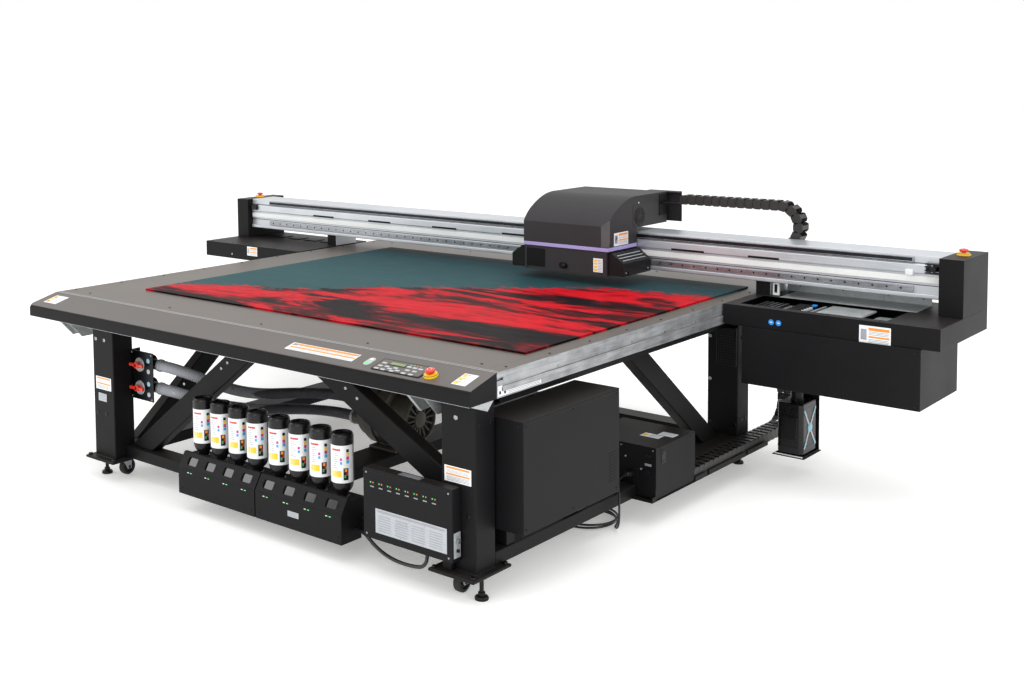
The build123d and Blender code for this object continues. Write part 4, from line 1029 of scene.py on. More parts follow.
# ---------- ink controller ----------
low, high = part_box("ink_controller")
softened("ink_controller", "machine", ["blackPowderCoat", "topLitPowderCoat"], 0.002, upFacing)
face = Piece("ink_controller_face")
front = -1.2412
for i in range(8):
    x = 0.815 + i * 0.0415
    face.add(plaque((x, front, 0.351), (1, 0, 0), (0, 0, 1), 0.030, 0.012, 0.0008, 0.0002, 0.003), "blackMoulding")
    for dx, ink in ((-0.006, "greenLens"), (0.006, "orangeInk")):
        face.add(turned([(0, 0.0022), (0.0016, 0.0018), (0.0024, 0.0008), (0.0024, 0), (0, 0)], (x + dx, front - 0.0008, 0.351),
                        (0, -1, 0), 12), ink)
    face.add(plaque((x, front, 0.335), (1, 0, 0), (0, 0, 1), 0.018, 0.004, 0.0003, 0), "greyInk")
face.sticker((0.996, front, 0.213), (1, 0, 0), (0, 0, 1), 0.332, 0.090,
             [(0.03, 0.86, 0.97, 0.95, "greyInk")]
             + [(0.04 + 0.24 * c, 0.10 + 0.10 * i, 0.22 + 0.24 * c, 0.14 + 0.10 * i, "greyInk")
                for c in range(4) for i in range(7)], "silverLabel")
for x in (0.787, 1.170):
    for z in (0.156, 0.384):
        face.screw((x, front + 0.0002, z), (0, -1, 0), 0.004, "groundSteel")
face.add(cuboid((0.771, -1.2415, 0.3880), (1.186, -1.2408, 0.3892), 0.0001), "darkSteel")
face.sticker((0.98, -1.216, 0.4002), (1, 0, 0), (0, 1, 0), 0.10, 0.03,
             [(0.1, 0.2 + 0.2 * i, 0.9, 0.27 + 0.2 * i, "greyInk") for i in range(4)], "silverLabel")
face.add(plaque((1.1862, -1.216, 0.20), (0, 1, 0), (0, 0, 1), 0.036, 0.090, 0.002, 0.0004), "zincPlate")
face.add(rod((1.188, -1.216, 0.215), (1.198, -1.216, 0.215), 0.009, 20, 0.001), "groundSteel")
face.add(rod((1.188, -1.216, 0.180), (1.1955, -1.216, 0.180), 0.006, 16, 0.001), "blackMoulding")
face.done("machine")
print("ink station dressed")

# ---------- suction: valves and blower ----------
softened("valve_panel", "machine", ["darkSteel"], 0.001)
for side, z in (("upper", 0.530), ("lower", 0.425)):
    handle = Piece("valve_tee_" + side)
    x = -0.735
    handle.add(turned([(0, -0.0415), (0.0074, -0.0415), (0.0074, -0.009), (0.013, -0.008), (0.0150, -0.004), (0.0150, 0.012),
                       (0.012, 0.0142), (0, 0.0145)], (x, -1.1035, z), (0, -1, 0), 28), "redMoulding")
    for share in (-1, 1):
        arm = [(x, z - 0.008), (x + share * 0.030, z - 0.0068), (x + share * 0.043, z - 0.0088),
               (x + share * 0.048, z - 0.004), (x + share * 0.048, z + 0.004), (x + share * 0.043, z + 0.0088),
               (x + share * 0.030, z + 0.0068), (x, z + 0.008)]
        handle.add(prism(arm if share > 0 else arm[::-1], "y", -1.1175, -1.1045, 0.0028, 3), "redMoulding")
    handle.add(turned([(0, 0.0014), (0.006, 0.0012), (0.007, 0), (0, 0)], (x, -1.1180, z), (0, -1, 0), 20), "darkSteel")
    handle.done("valve_handle_" + side, ["valve_handle_" + side])
plate = Piece("valve_trim")
for z in (0.530, 0.425):
    plate.add(turned([(0.0085, 0.0008), (0.026, 0.0008), (0.030, 0.004), (0.032, 0.0008), (0.0325, 0), (0.0085, 0),
                      (0.0085, 0.0008)], (-0.735, -1.092, z), (0, -1, 0), 36), "zincPlate")
    plate.add(turned([(0.0252, 0), (0.0275, 0.001), (0.0285, 0.004), (0.0285, 0.016), (0.0275, 0.019), (0.0252, 0.020),
                      (0.0252, 0)], (-0.652, -1.045, z), (1, 0, 0), 36), "zincPlate")
    for dz in (-0.040, 0.040):
        plate.add(turned([(0, 0.002), (0.010, 0.002), (0.011, 0.001), (0.011, 0), (0, 0)],
                         (-0.672, -1.092, z + dz * 0.6), (0, -1, 0), 20), "blueNylon" if dz > 0 else "greyMoulding")
for x in (-0.79, -0.65):
    for z in (0.38, 0.582):
        plate.screw((x, -1.092, z), (0, -1, 0), 0.0045, "groundSteel")
plate.done("machine")

blow = {"y": -0.330, "z": 0.292, "radius": 0.140}
fan = Piece("ring_blower")
at = (0, blow["y"], blow["z"])
fan.add(turned([(0, -0.005), (0.112, -0.005), (0.118, 0.001), (0.118, 0.036), (0.126, 0.040), (0.136, 0.044), (0.140, 0.052),
                (0.140, 0.098), (0.132, 0.103), (0.132, 0.110), (0.140, 0.115), (0.140, 0.160), (0.136, 0.168),
                (0.120, 0.175), (0.104, 0.177), (0.102, 0.245), (0.108, 0.247), (0.108, 0.262), (0, 0.262)],
               at, (1, 0, 0), 64), "olivePaint")
for i in range(28):
    angle = i * 2 * math.pi / 28
    out = Vector((0, math.cos(angle), math.sin(angle)))
    fan.add(plaque(Vector(at) + Vector((0.211, 0, 0)) + out * 0.101, (1, 0, 0), out.cross(Vector((1, 0, 0))) * -1,
                   0.066, 0.0035, 0.0068, 0.0008), "olivePaint")
for i in range(16):
    # radial bars of the fan guard, dark gaps between them
    angle = i * 2 * math.pi / 16
    out = Vector((0, math.cos(angle), math.sin(angle)))
    across = Vector((1, 0, 0)).cross(out)
    fan.add(plaque(Vector(at) + Vector((0.2655, 0, 0)) + out * 0.068, across, out * -1, 0.0085, 0.064, 0.012, 0.002),
            "olivePaint")
fan.add(turned([(0, 0), (0.098, 0), (0.098, 0.004), (0, 0.004)], (0.262, at[1], at[2]), (1, 0, 0), 48), "blackMoulding")
fan.add(turned([(0, 0.004), (0.036, 0.004), (0.038, 0.008), (0.036, 0.018), (0.022, 0.0225), (0, 0.023)],
               (0.262, at[1], at[2]), (1, 0, 0), 40), "olivePaint")
fan.add(turned([(0.094, 0.0), (0.108, 0.0), (0.108, 0.013), (0.102, 0.0205), (0.094, 0.0205), (0.094, 0.0)],
               (0.262, at[1], at[2]), (1, 0, 0), 56), "olivePaint")
fan.add(cuboid((0.065, -0.440, 0.1502), (0.225, -0.220, 0.164), 0.004), "olivePaint")
fan.add(prism([(-0.400, 0.163), (-0.260, 0.163), (-0.285, 0.235), (-0.375, 0.235)], "x", 0.085, 0.205, 0.006), "olivePaint")
for z in (0.345, 0.262):
    fan.add(turned([(0.0255, -0.070), (0.033, -0.070), (0.033, -0.020), (0.036, -0.014), (0.036, 0.020), (0.0255, 0.020),
                    (0.0255, -0.070)], (0, -0.392, z), (1, 0, 0), 40), "olivePaint")
    fan.add(turned([(0.0332, -0.066), (0.0352, -0.065), (0.0352, -0.054), (0.0332, -0.053), (0.0332, -0.066)],
                   (0, -0.392, z), (1, 0, 0), 40), "zincPlate")
fan.add(cuboid((0.190, -0.372, 0.3965), (0.250, -0.288, 0.425), 0.004), "olivePaint")
for i in range(8):
    angle = i * math.pi / 4 + 0.2
    fan.screw((0.170, at[1] + 0.126 * math.cos(angle), at[2] + 0.126 * math.sin(angle)), (1, 0, 0), 0.005, "darkSteel")
fan.done("machine", ["blower"])
print("suction dressed")

# ---------- electrics ----------
box = Piece("cabinet_details")
x0, x1, y0, y1, z0, z1 = 1.160, 1.362, -1.067, -0.442, 0.229, 0.630
for y in (y0 + 0.018, y1 - 0.018, (y0 + y1) / 2):
    for z in (z0 + 0.018, z1 - 0.018):
        box.screw((x1, y, z), (1, 0, 0), 0.0035, "darkSteel")
for x in (x0 + 0.02, x1 - 0.02):
    for z in (z0 + 0.018, z1 - 0.018):
        box.screw((x, y0, z), (0, -1, 0), 0.0035, "darkSteel")
box.add(cuboid((x1 - 0.0004, y0 + 0.004, z1 - 0.0125), (x1 + 0.0004, y1 - 0.004, z1 - 0.0115), 0.0001), "darkSteel")
for i in range(10):
    box.add(cuboid((x1 - 0.0006, y1 - 0.07, z0 + 0.05 + i * 0.012), (x1 + 0.0012, y1 - 0.02, z0 + 0.055 + i * 0.012), 0.0006),
            "blackPowderCoat")
box.done("machine")

power = Piece("power_box_details")
x0, x1, y0, y1, z1 = 0.995, 1.340, -0.129, 0.193, 0.317
power.sticker((1.235, 0.02, z1 + 0.0002), (1, 0, 0), (0, 1, 0), 0.085, 0.050,
              [(0.06, 0.2, 0.3, 0.8, "yellowInk")] + [(0.38, 0.15 + 0.14 * i, 0.94, 0.2 + 0.14 * i, "greyInk") for i in range(6)])
power.sticker((1.280, 0.075, z1 + 0.0002), (1, 0, 0), (0, 1, 0), 0.070, 0.050,
              [(0.08, 0.15 + 0.14 * i, 0.92, 0.2 + 0.14 * i, "greyInk") for i in range(6)])
power.add(plaque((1.306, y0 - 0.0002, 0.282), (1, 0, 0), (0, 0, 1), 0.020, 0.012, 0.003, 0.0005, 0.002), "darkSteel")
power.sticker((1.304, y0 - 0.0002, 0.243), (1, 0, 0), (0, 0, 1), 0.030, 0.010, [(0.1, 0.3, 0.9, 0.6, "greyInk")], "silverLabel")
power.add(rod((1.304, y0 - 0.0002, 0.214), (1.304, y0 - 0.014, 0.214), 0.012, 24, 0.0015), "blackMoulding")
power.add(rod((1.274, y0 - 0.0002, 0.222), (1.274, y0 - 0.005, 0.222), 0.004, 16, 0.0008), "drawnAluminium")
power.add(rod((1.2015, y0 - 0.0002, 0.262), (1.2015, y0 - 0.004, 0.262), 0.0035, 16, 0.0008), "drawnAluminium")
for x in (x0 + 0.02, 1.18, x1 - 0.014):
    power.screw((x, y0, z1 - 0.012), (0, -1, 0), 0.0035, "groundSteel")
for y in (y0 + 0.04, y1 - 0.04):
    power.screw((x1, y, z1 - 0.012), (1, 0, 0), 0.0035, "darkSteel")
    power.screw((x1 - 0.012, y, z1), (0, 0, 1), 0.0035, "darkSteel")
power.add(plaque((x1 + 0.0001, -0.07, 0.270), (0, 1, 0), (0, 0, 1), 0.034, 0.050, 0.0015, 0.0004, 0.003), "darkSteel")
power.done("machine")
softened("power_switch", "power_switch", ["blackMoulding"], 0.0008)

plugs = Piece("power_plug_pair")
inlet = {"x": 1.231, "y": -0.132, "z": 0.200}
x, y, z = inlet["x"], inlet["y"], inlet["z"]
plugs.add(cuboid((x - 0.014, y - 0.034, z - 0.010), (x + 0.014, y - 0.0005, z + 0.010), 0.0035, 3), "blackMoulding")
plugs.add(turned([(0, 0), (0.0095, 0), (0.0092, 0.003), (0.0078, 0.005), (0.0082, 0.008), (0.0070, 0.011), (0.0074, 0.014),
                  (0.0062, 0.017), (0.0064, 0.020), (0.0054, 0.024), (0, 0.024)], (x, y - 0.034, z), (0, -1, 0), 24),
          "cordJacket")
plugX, plugY = 0.985, -0.130
plugs.add(cuboid((plugX - 0.044, plugY - 0.020, 0.0004), (plugX - 0.0005, plugY + 0.020, 0.0300), 0.006, 3), "blackMoulding")
plugs.add(turned([(0, 0), (0.0095, 0), (0.0085, 0.004), (0.0090, 0.008), (0.0075, 0.012), (0.0078, 0.016), (0.0058, 0.022),
                  (0, 0.022)], (plugX - 0.0006, plugY, 0.0100), (1, 0, 0), 24), "cordJacket")
for dy in (-0.0095, 0.0095):
    plugs.add(rod((plugX - 0.062, plugY + dy, 0.015), (plugX - 0.044, plugY + dy, 0.015), 0.0023, 16, 0.0008), "groundSteel")
plugPiece = plugs.done("machine", ["power_plugs"])
print("electrics dressed")

# ---------- the power cord's length, worked out again and not kept ---
pathLength(cordPath(fullRoute))

# ---------- gantry beam ----------


def beamFinish(face):
    spot = face.calc_center_median()
    if spot.z < 0.8595 and spot.y < 1.05:
        return 2
    return 1 if spot.y < 0.8628 else 0


softened("gantry_beam", "gantry", ["drawnAluminium", "groundSteel", "blackPowderCoat"], 0.0012, beamFinish)
beam = {"front": 0.863, "left": -2.098, "right": 2.098, "holePitch": 0.060}
face = Piece("gantry_beam_face")
face.add(cuboid((beam["left"], 0.8515, 0.962), (beam["right"], 0.8645, 1.004), 0.0098, 6), "drawnAluminium")
face.add(cuboid((beam["left"], 0.8560, 0.926), (beam["right"], 0.8640, 0.953), 0.002, 3), "whitePaint")
face.add(cuboid((beam["left"], 0.8605, 0.9135), (beam["right"], 0.8640, 0.9165), 0.0008), "darkSteel")
face.add(cuboid((beam["left"], 0.8605, 1.0062), (beam["right"], 0.8640, 1.0085), 0.0006), "darkSteel")
face.add(cuboid((beam["left"], 0.8500, 0.8605), (beam["right"], 0.8640, 0.8800), 0.004, 3), "drawnAluminium")
face.add(cuboid((-1.930, 0.8485, 1.0145), (1.985, 0.8502, 1.0285), 0.0004), "darkSteel")
face.add(cuboid((1.251, 0.8490, 0.964), (1.400, 0.8560, 0.974), 0.0012), "blackMoulding")
face.add(cuboid((1.400, 0.8495, 0.966), (1.686, 0.8540, 0.972), 0.0008), "greyMoulding")
for start in (-1.55, -1.10, -0.62, -0.14, 0.86):
    face.add(cuboid((start, 0.8490, 0.964), (start + 0.17, 0.8560, 0.974), 0.0012), "blackMoulding")
# dark discs along both rails for the counterbored bolt holes: painted shade in place of the recesses
for i in range(65):
    x = -1.900 + i * beam["holePitch"]
    for z, name in ((1.0215, "blackMoulding"), (0.8965, "blackMoulding")):
        proud = 0.8484 if z > 1 else 0.8499
        face.add(turned([(0, 0.0004), (0.0042, 0.0004), (0.0046, 0), (0, 0)], (x, proud, z), (0, -1, 0), 10), name)
face.done("gantry")

ends = Piece("gantry_end_fittings")
ends.add(cuboid((1.958, 0.842, 0.955), (1.990, 0.862, 0.980), 0.003), "whitePaint")
ends.add(turned([(0, 0.010), (0.030, 0.010), (0.030, 0.007), (0.026, 0.006), (0.026, -0.006), (0.030, -0.007), (0.030, -0.010),
                 (0, -0.010)], (2.068, 0.846, 0.990), (0, 0, 1), 36), "blackMoulding")
ends.add(rod((2.068, 0.846, 0.972), (2.068, 0.846, 1.010), 0.007, 16, 0.001), "groundSteel")
ends.add(cuboid((2.040, 0.836, 0.968), (2.099, 0.862, 0.974), 0.0015), "darkSteel")
ends.add(cuboid((2.040, 0.836, 1.006), (2.099, 0.862, 1.012), 0.0015), "darkSteel")
ends.add(cuboid((-2.085, 0.836, 0.972), (-2.040, 0.862, 1.006), 0.004), "darkSteel")
ends.add(cuboid((1.359, 1.036, 0.7985), (2.006, 1.040, 0.8592), 0.0008), "zincPlate")
ends.add(cuboid((1.405, 0.850, 0.7981), (2.006, 1.036, 0.7995), 0.0004), "zincPlate")
for x in (1.56, 1.80):
    ends.add(cuboid((x, 1.0335, 0.8000), (x + 0.003, 1.0362, 0.8590), 0.0004), "greyMoulding")
for x in (1.42, 1.62, 1.82, 1.97):
    ends.screw((x, 1.036, 0.825), (0, -1, 0), 0.004, "groundSteel")
for i in range(4):
    ends.add(cuboid((-2.0 + i * 0.14, 0.930, 0.7985), (-1.90 + i * 0.14, 1.020, 0.802), 0.0006), "blackPowderCoat")
ends.add(cuboid((1.362, 0.872, 0.800), (1.392, 0.884, 0.862), 0.002), "whitePaint")
ends.add(cuboid((1.370, 0.8712, 0.812), (1.384, 0.8722, 0.850), 0.0003), "darkSteel")
for x in (1.2825, 1.3500, -1.4505, -1.3825):
    ends.add(cuboid((x - 0.001, 0.871, 0.7985), (x + 0.002, 1.045, 0.8595), 0.0006), "drawnAluminium")
for x in (1.300, 1.332, -1.434, -1.400):
    for z in (0.815, 0.845):
        ends.screw((x, 0.870, z), (0, -1, 0), 0.0045, "darkSteel")
ends.done("gantry")

gantryLabels = Piece("gantry_labels")
for x, ink in ((1.501, "blueInk"), (1.534, "blueInk")):
    gantryLabels.add(turned([(0, 0.0006), (0.0120, 0.0006), (0.0122, 0.0004), (0.0122, 0), (0, 0)], (x, 0.5578, 0.741),
                            (0, -1, 0), 32), ink)
    gantryLabels.add(plaque((x, 0.5572, 0.741), (1, 0, 0), (0, 0, 1), 0.010, 0.004, 0.0002, 0), "whiteLabel")
for x, z, wide, tall in ((1.944, 0.741, 0.128, 0.074), (-1.78, 0.765, 0.088, 0.054)):
    gantryLabels.sticker((x, 0.5578, z), (1, 0, 0), (0, 0, 1), wide, tall,
                         [(0.05, 0.2, 0.24, 0.8, "silverLabel"), (0.3, 0.74, 0.96, 0.9, "orangeInk"),
                          (0.3, 0.34, 0.96, 0.44, "orangeInk")]
                         + [(0.3, 0.08 + 0.08 * i, 0.94, 0.11 + 0.08 * i, "greyInk") for i in range(3)]
                         + [(0.3, 0.5 + 0.08 * i, 0.94, 0.53 + 0.08 * i, "greyInk") for i in range(3)])
gantryLabels.add(rod((-1.96, 0.5582, 0.735), (-1.96, 0.556, 0.735), 0.006, 16, 0.001), "groundSteel")
for i in range(9):
    # louvres on the outer faces of the end covers
    for side in (-1, 1):
        lo, hi = sorted((side * 2.1998, side * 2.1992))
        gantryLabels.add(cuboid((lo - 0.0001, 0.990 + i * 0.014, 0.815), (hi + 0.0001, 0.998 + i * 0.014, 0.872), 0),
                         "darkSteel")
for x0, x1 in ((1.2825, 2.1975), (-2.1975, -1.3825)):
    for i in range(5):
        gantryLabels.screw((x0 + 0.03 + i * (x1 - x0 - 0.06) / 4, 0.580, 0.798), (0, 0, 1), 0.004, "darkSteel")
for x in (1.39, 1.75, 2.11):
    gantryLabels.screw((x, 0.549, 0.690), (0, -1, 0), 0.004, "darkSteel")
    gantryLabels.screw((x, 0.549, 0.475), (0, -1, 0), 0.004, "darkSteel")
gantryLabels.done("gantry")
print("gantry dressed")

# ---------- maintenance station in the right tray ----------
x0, x1, y0, y1, z0 = 1.335, 1.975, 0.604, 0.846, 0.720
station = Piece("maintenance_station")
station.add(cuboid((x0 + 0.008, y0 + 0.008, z0 + 0.0002), (x1 - 0.008, y1 - 0.008, z0 + 0.006), 0.001), "zincPlate")
station.add(cuboid((x0 + 0.020, y0 + 0.020, z0 + 0.006), (x0 + 0.150, y1 - 0.020, z0 + 0.050), 0.003), "drawnAluminium")
for i in range(5):
    station.add(cuboid((x0 + 0.030 + i * 0.023, y0 + 0.030, z0 + 0.050), (x0 + 0.043 + i * 0.023, y1 - 0.030, z0 + 0.061),
                       0.002), "blackMoulding")
    station.add(cuboid((x0 + 0.034 + i * 0.023, y0 + 0.036, z0 + 0.0605), (x0 + 0.039 + i * 0.023, y1 - 0.036, z0 + 0.0618),
                       0.0004), "groundSteel")
station.add(cuboid((x0 + 0.175, y0 + 0.040, z0 + 0.006), (x0 + 0.255, y1 - 0.030, z0 + 0.046), 0.003), "darkSteel")
for i in range(6):
    y = y0 + 0.050 + i * 0.026
    station.add(cuboid((x0 + 0.182, y, z0 + 0.046), (x0 + 0.248, y + 0.018, z0 + 0.060), 0.004, 3), "greyMoulding")
    station.add(cuboid((x0 + 0.188, y + 0.007, z0 + 0.059), (x0 + 0.242, y + 0.011, z0 + 0.0695), 0.0015), "cordJacket")
station.add(cuboid((x0 + 0.290, y0 + 0.030, z0 + 0.006), (x0 + 0.300, y1 - 0.024, z0 + 0.066), 0.0015), "drawnAluminium")
station.add(cuboid((x0 + 0.243, y1 - 0.052, z0 + 0.062), (x0 + 0.262, y1 - 0.030, z0 + 0.0700), 0.002), "blueInk")
station.add(cuboid((x0 + 0.330, y0 + 0.024, z0 + 0.006), (x1 - 0.030, y1 - 0.024, z0 + 0.022), 0.002), "zincPlate")
# pale zinc plates just under the tray's rim over the wiping unit, standing in for light where the tray's inside is in
# shade: painted light
station.add(cuboid((x0 + 0.320, y0 + 0.020, z0 + 0.0600), (x1 - 0.130, y1 - 0.006, z0 + 0.0680), 0.0015), "zincPlate")
station.add(cuboid((x1 - 0.120, y0 + 0.010, z0 + 0.0400), (x1 - 0.010, y1 - 0.006, z0 + 0.0440), 0.0015), "zincPlate")
for i in range(3):
    y = y0 + 0.045 + i * 0.070
    station.add(rod((x0 + 0.335, y, z0 + 0.026), (x1 - 0.035, y, z0 + 0.026), 0.0055, 16, 0.001), "groundSteel")
for i in range(4):
    x = x0 + 0.360 + i * 0.066
    station.add(cuboid((x, y0 + 0.032, z0 + 0.022), (x + 0.016, y1 - 0.032, z0 + 0.0300), 0.0015), "blackMoulding")
    station.screw((x + 0.008, y0 + 0.060, z0 + 0.0300), (0, 0, 1), 0.003, "groundSteel")
station.done("gantry", ["station"])

# ---------- waste tank ----------
x0, x1, y0, y1 = 1.412, 1.532, 0.815, 0.974
tank = Piece("waste_bottle")
outline = [(x0, y0), (x1, y0), (x1, y1), (x0, y1)]
shell = prism(outline, "z", 0.0974, 0.330, 0)
posts = [e for e in shell.edges if abs(e.verts[0].co.z - e.verts[1].co.z) > 0.1]
bmesh.ops.bevel(shell, geom=posts, offset=0.020, offset_type="OFFSET", segments=5, profile=0.5, affect="EDGES",
                clamp_overlap=True, material=-1)
roundEdges(shell, 0.007, 3)
tank.add(shell, "blackPolyethylene")
for z in (0.125, 0.300):
    band = prism([(x0 - 0.0010, y0 - 0.0010), (x1 + 0.0010, y0 - 0.0010), (x1 + 0.0010, y1 + 0.0010), (x0 - 0.0010, y1 + 0.0010)],
                 "z", z, z + 0.010, 0)
    posts = [e for e in band.edges if abs(e.verts[0].co.z - e.verts[1].co.z) > 0.005]
    bmesh.ops.bevel(band, geom=posts, offset=0.021, offset_type="OFFSET", segments=5, profile=0.5, affect="EDGES",
                    clamp_overlap=True, material=-1)
    tank.add(roundEdges(band, 0.0015, 2), "blackPolyethylene")
tank.add(plaque(((x0 + x1) / 2, y0 + 0.0002, 0.214), (1, 0, 0), (0, 0, 1), 0.074, 0.118, 0.0035, 0.0015, 0.010), "blackPolyethylene")
tank.add(plaque(((x0 + x1) / 2, y0 - 0.0031, 0.214), (1, 0, 0), (0, 0, 1), 0.054, 0.096, 0.0008, 0.0003, 0.008), "blackMoulding")
tank.add(turned([(0, 0.330), (0.030, 0.330), (0.030, 0.340), (0.0275, 0.342), (0.0275, 0.368), (0.025, 0.3745), (0, 0.375)],
                ((x0 + x1) / 2, (y0 + y1) / 2, 0), steps=36), "blackMoulding")
side = Vector((x1 + 0.0004, (y0 + y1) / 2, 0.214))
for tilt in (1, -1):
    tank.add(plaque(side, (0, 0.56, 0.82 * tilt), (0, -0.82 * tilt, 0.56), 0.210, 0.011, 0.0014, 0.0004), "greyMoulding")
    for end in (1, -1):
        spot = side + Vector((0.0014, 0.048 * end, 0.070 * tilt * end))
        tank.add(plaque(spot, (0, 0.56, 0.82 * tilt), (0, -0.82 * tilt, 0.56), 0.030, 0.012, 0.0008, 0.0003), "blueNylon")
tank.add(turned([(0, 0.005), (0.012, 0.005), (0.020, 0.0035), (0.022, 0), (0, 0)], side, (1, 0, 0), 36), "blueNylon")
tank.done("waste_tank", ["waste_tank"])
pads = Piece("waste_shelf_trim")
pads.add(cuboid((1.408, 0.806, 0.0923), (1.537, 0.976, 0.0970), 0.0012), "whiteLabel")
pads.add(cuboid((1.372, 0.800, 0.4560), (1.560, 0.9905, 0.4584), 0.0006), "zincPlate")
pads.add(cuboid((1.404, 0.8128, 0.405), (1.5395, 0.8150, 0.4395), 0.0006), "blackPowderCoat")
pads.screw((1.500, 0.8128, 0.425), (0, -1, 0), 0.0055, "whitePaint")
pads.done("gantry")
print("station and tank dressed")

# ---------- carriage ----------


def bodyFinish(face):
    spot = face.calc_center_median()
    if 0.9688 < spot.z < 0.9872 and abs(face.normal.z) < 0.5:
        return 1
    return 2 if spot.y > 0.9 else 0


softened("carriage_body", "carriage", ["charcoalPaint", "lilacAcrylic", "blackPowderCoat"], 0.0015, bodyFinish)
car = {"left": 0.194, "right": 0.676, "front": 0.580}
trimC = Piece("carriage_details")
for side, x in ((1, car["right"]), (-1, car["left"])):
    out = Vector((side, 0, 0))
    along = Vector((0, side, 0))
    up = Vector((0, 0, 1))
    hub = Vector((x, 0.869, 1.115))
    trimC.add(plaque(hub + Vector((0, -0.007, 0.005)), along, up, 0.104, 0.104, 0.0016, 0.0006, 0.016), "charcoalPaint")
    seat = hub + out * 0.0016
    trimC.add(turned([(0, 0.0004), (0.046, 0.0004), (0.046, 0), (0, 0)], seat, out, 48), "blackMoulding")
    for r in (0.012, 0.020, 0.028, 0.036, 0.044):
        trimC.add(turned([(r - 0.0016, 0.0004), (r - 0.0016, 0.0022), (r + 0.0016, 0.0022), (r + 0.0016, 0.0004),
                          (r - 0.0016, 0.0004)], seat, out, 48), "charcoalPaint")
    for i in range(6):
        angle = i * math.pi / 6
        ray = along * math.cos(angle) + up * math.sin(angle)
        trimC.add(plaque(seat + out * 0.0006, ray, out.cross(ray), 0.090, 0.0030, 0.0020, 0.0004), "charcoalPaint")
    trimC.add(turned([(0, 0.0030), (0.0060, 0.0030), (0.0070, 0.0022), (0.0070, 0.0004), (0, 0.0004)], seat, out, 24), "charcoalPaint")
    trimC.screw(Vector((x, 0.862, 1.180)), out, 0.004, "whitePaint")
    for y in (0.600, 0.830):
        trimC.screw(Vector((x, y, 1.000)), out, 0.004, "darkSteel")
trimC.sticker((0.6762, 0.700, 1.0215), (0, 1, 0), (0, 0, 1), 0.128, 0.062,
              [(0.05, 0.18, 0.26, 0.82, "silverLabel"), (0.10, 0.30, 0.14, 0.6, "blackMoulding"),
               (0.16, 0.45, 0.20, 0.75, "blackMoulding"), (0.32, 0.76, 0.96, 0.92, "orangeInk"),
               (0.32, 0.36, 0.96, 0.46, "orangeInk")]
              + [(0.32, 0.1 + 0.08 * i, 0.94, 0.13 + 0.08 * i, "greyInk") for i in range(3)]
              + [(0.32, 0.54 + 0.07 * i, 0.94, 0.56 + 0.07 * i, "greyInk") for i in range(3)])
trimC.sticker((0.6195, 0.5858, 0.901), (1, 0, 0), (0, 0, 1), 0.052, 0.066,
              [(0.10, 0.08 + 0.23 * i, 0.42, 0.22 + 0.23 * i, "yellowInk") for i in range(4)]
              + [(0.50, 0.08 + 0.11 * i, 0.92, 0.11 + 0.11 * i, "greyInk") for i in range(8)])
trimC.add(plaque((0.423, 0.5862, 0.883), (1, 0, 0), (0, 0, 1), 0.052, 0.032, 0.0010, 0.0003, 0.015), "blackMoulding")
trimC.add(turned([(0, 0.016), (0.008, 0.0155), (0.0105, 0.012), (0.0105, 0.001), (0, 0.001)], (0.430, 0.5856, 0.883), (0, -1, 0), 28),
          "blackPolyethylene")
trimC.add(plaque((0.262, 0.5860, 0.910), (1, 0, 0), (0, 0, 1), 0.110, 0.090, 0.0016, 0.0006, 0.006), "blackPowderCoat")
for x in (0.24, 0.36, 0.48, 0.60, 0.66):
    trimC.screw((x, 1.10, 1.2128), (0, 0, 1), 0.0045, "groundSteel")
for x in (0.212, 0.658):
    trimC.screw((x, 0.865, 1.2128), (0, 0, 1), 0.0045, "groundSteel")
for x in (0.212, 0.638):
    trimC.screw((x, 0.5862, 0.862), (0, -1, 0), 0.004, "darkSteel")
trimC.add(cuboid((0.196, 0.9995, 1.2144), (0.674, 1.0010, 1.2150), 0.0001), "darkSteel")
for i in range(14):
    # carriage bearing blocks that ride the rails
    x = 0.26 + i * 0.028
    if i in (1, 5, 9, 12):
        trimC.add(cuboid((x, 0.8475, 1.006), (x + 0.022, 0.8620, 1.036), 0.002), "groundSteel")
for i in range(9):
    trimC.add(cuboid((0.70, 1.1765 + 0.0001, 1.08 + i * 0.013), (0.725, 1.1808, 1.086 + i * 0.013), 0.0006), "darkSteel")
trimC.done("carriage")

vents = Piece("lamp_vent_bars")
lean = math.atan2(0.044, 0.062)
for side, middleX in ((1, 0.721), (-1, 0.141)):
    out = Vector((side * math.sin(lean), 0, math.cos(lean)))
    across = Vector((side * math.cos(lean), 0, -math.sin(lean)))
    middle = Vector((middleX, 0.722, 0.940))
    for shift in (-0.019, 0, 0.019):
        spot = middle + across * shift - out * 0.004
        vents.add(plaque(spot, (0, 1, 0), out.cross(Vector((0, 1, 0))), 0.204, 0.0052, 0.0046, 0.0012), "drawnAluminium")
    for end in (-0.112, 0.112):
        vents.screw(middle + Vector((0, end, 0)), out, 0.003, "groundSteel")
    edgeX = 0.7522 if side > 0 else 0.1098
    for y in (0.62, 0.82):
        vents.screw((edgeX, y, 0.872), (side, 0, 0), 0.005, "groundSteel")
    vents.add(rod((edgeX, 0.640, 0.868), (edgeX + side * 0.006, 0.640, 0.868), 0.008, 20, 0.001), "blackMoulding")
vents.done("carriage")
print("carriage dressed")

# ---------- energy chains ----------
chain = {"pitch": 0.0430, "height": 0.046, "plate": 0.0045, "bar": 0.0035}


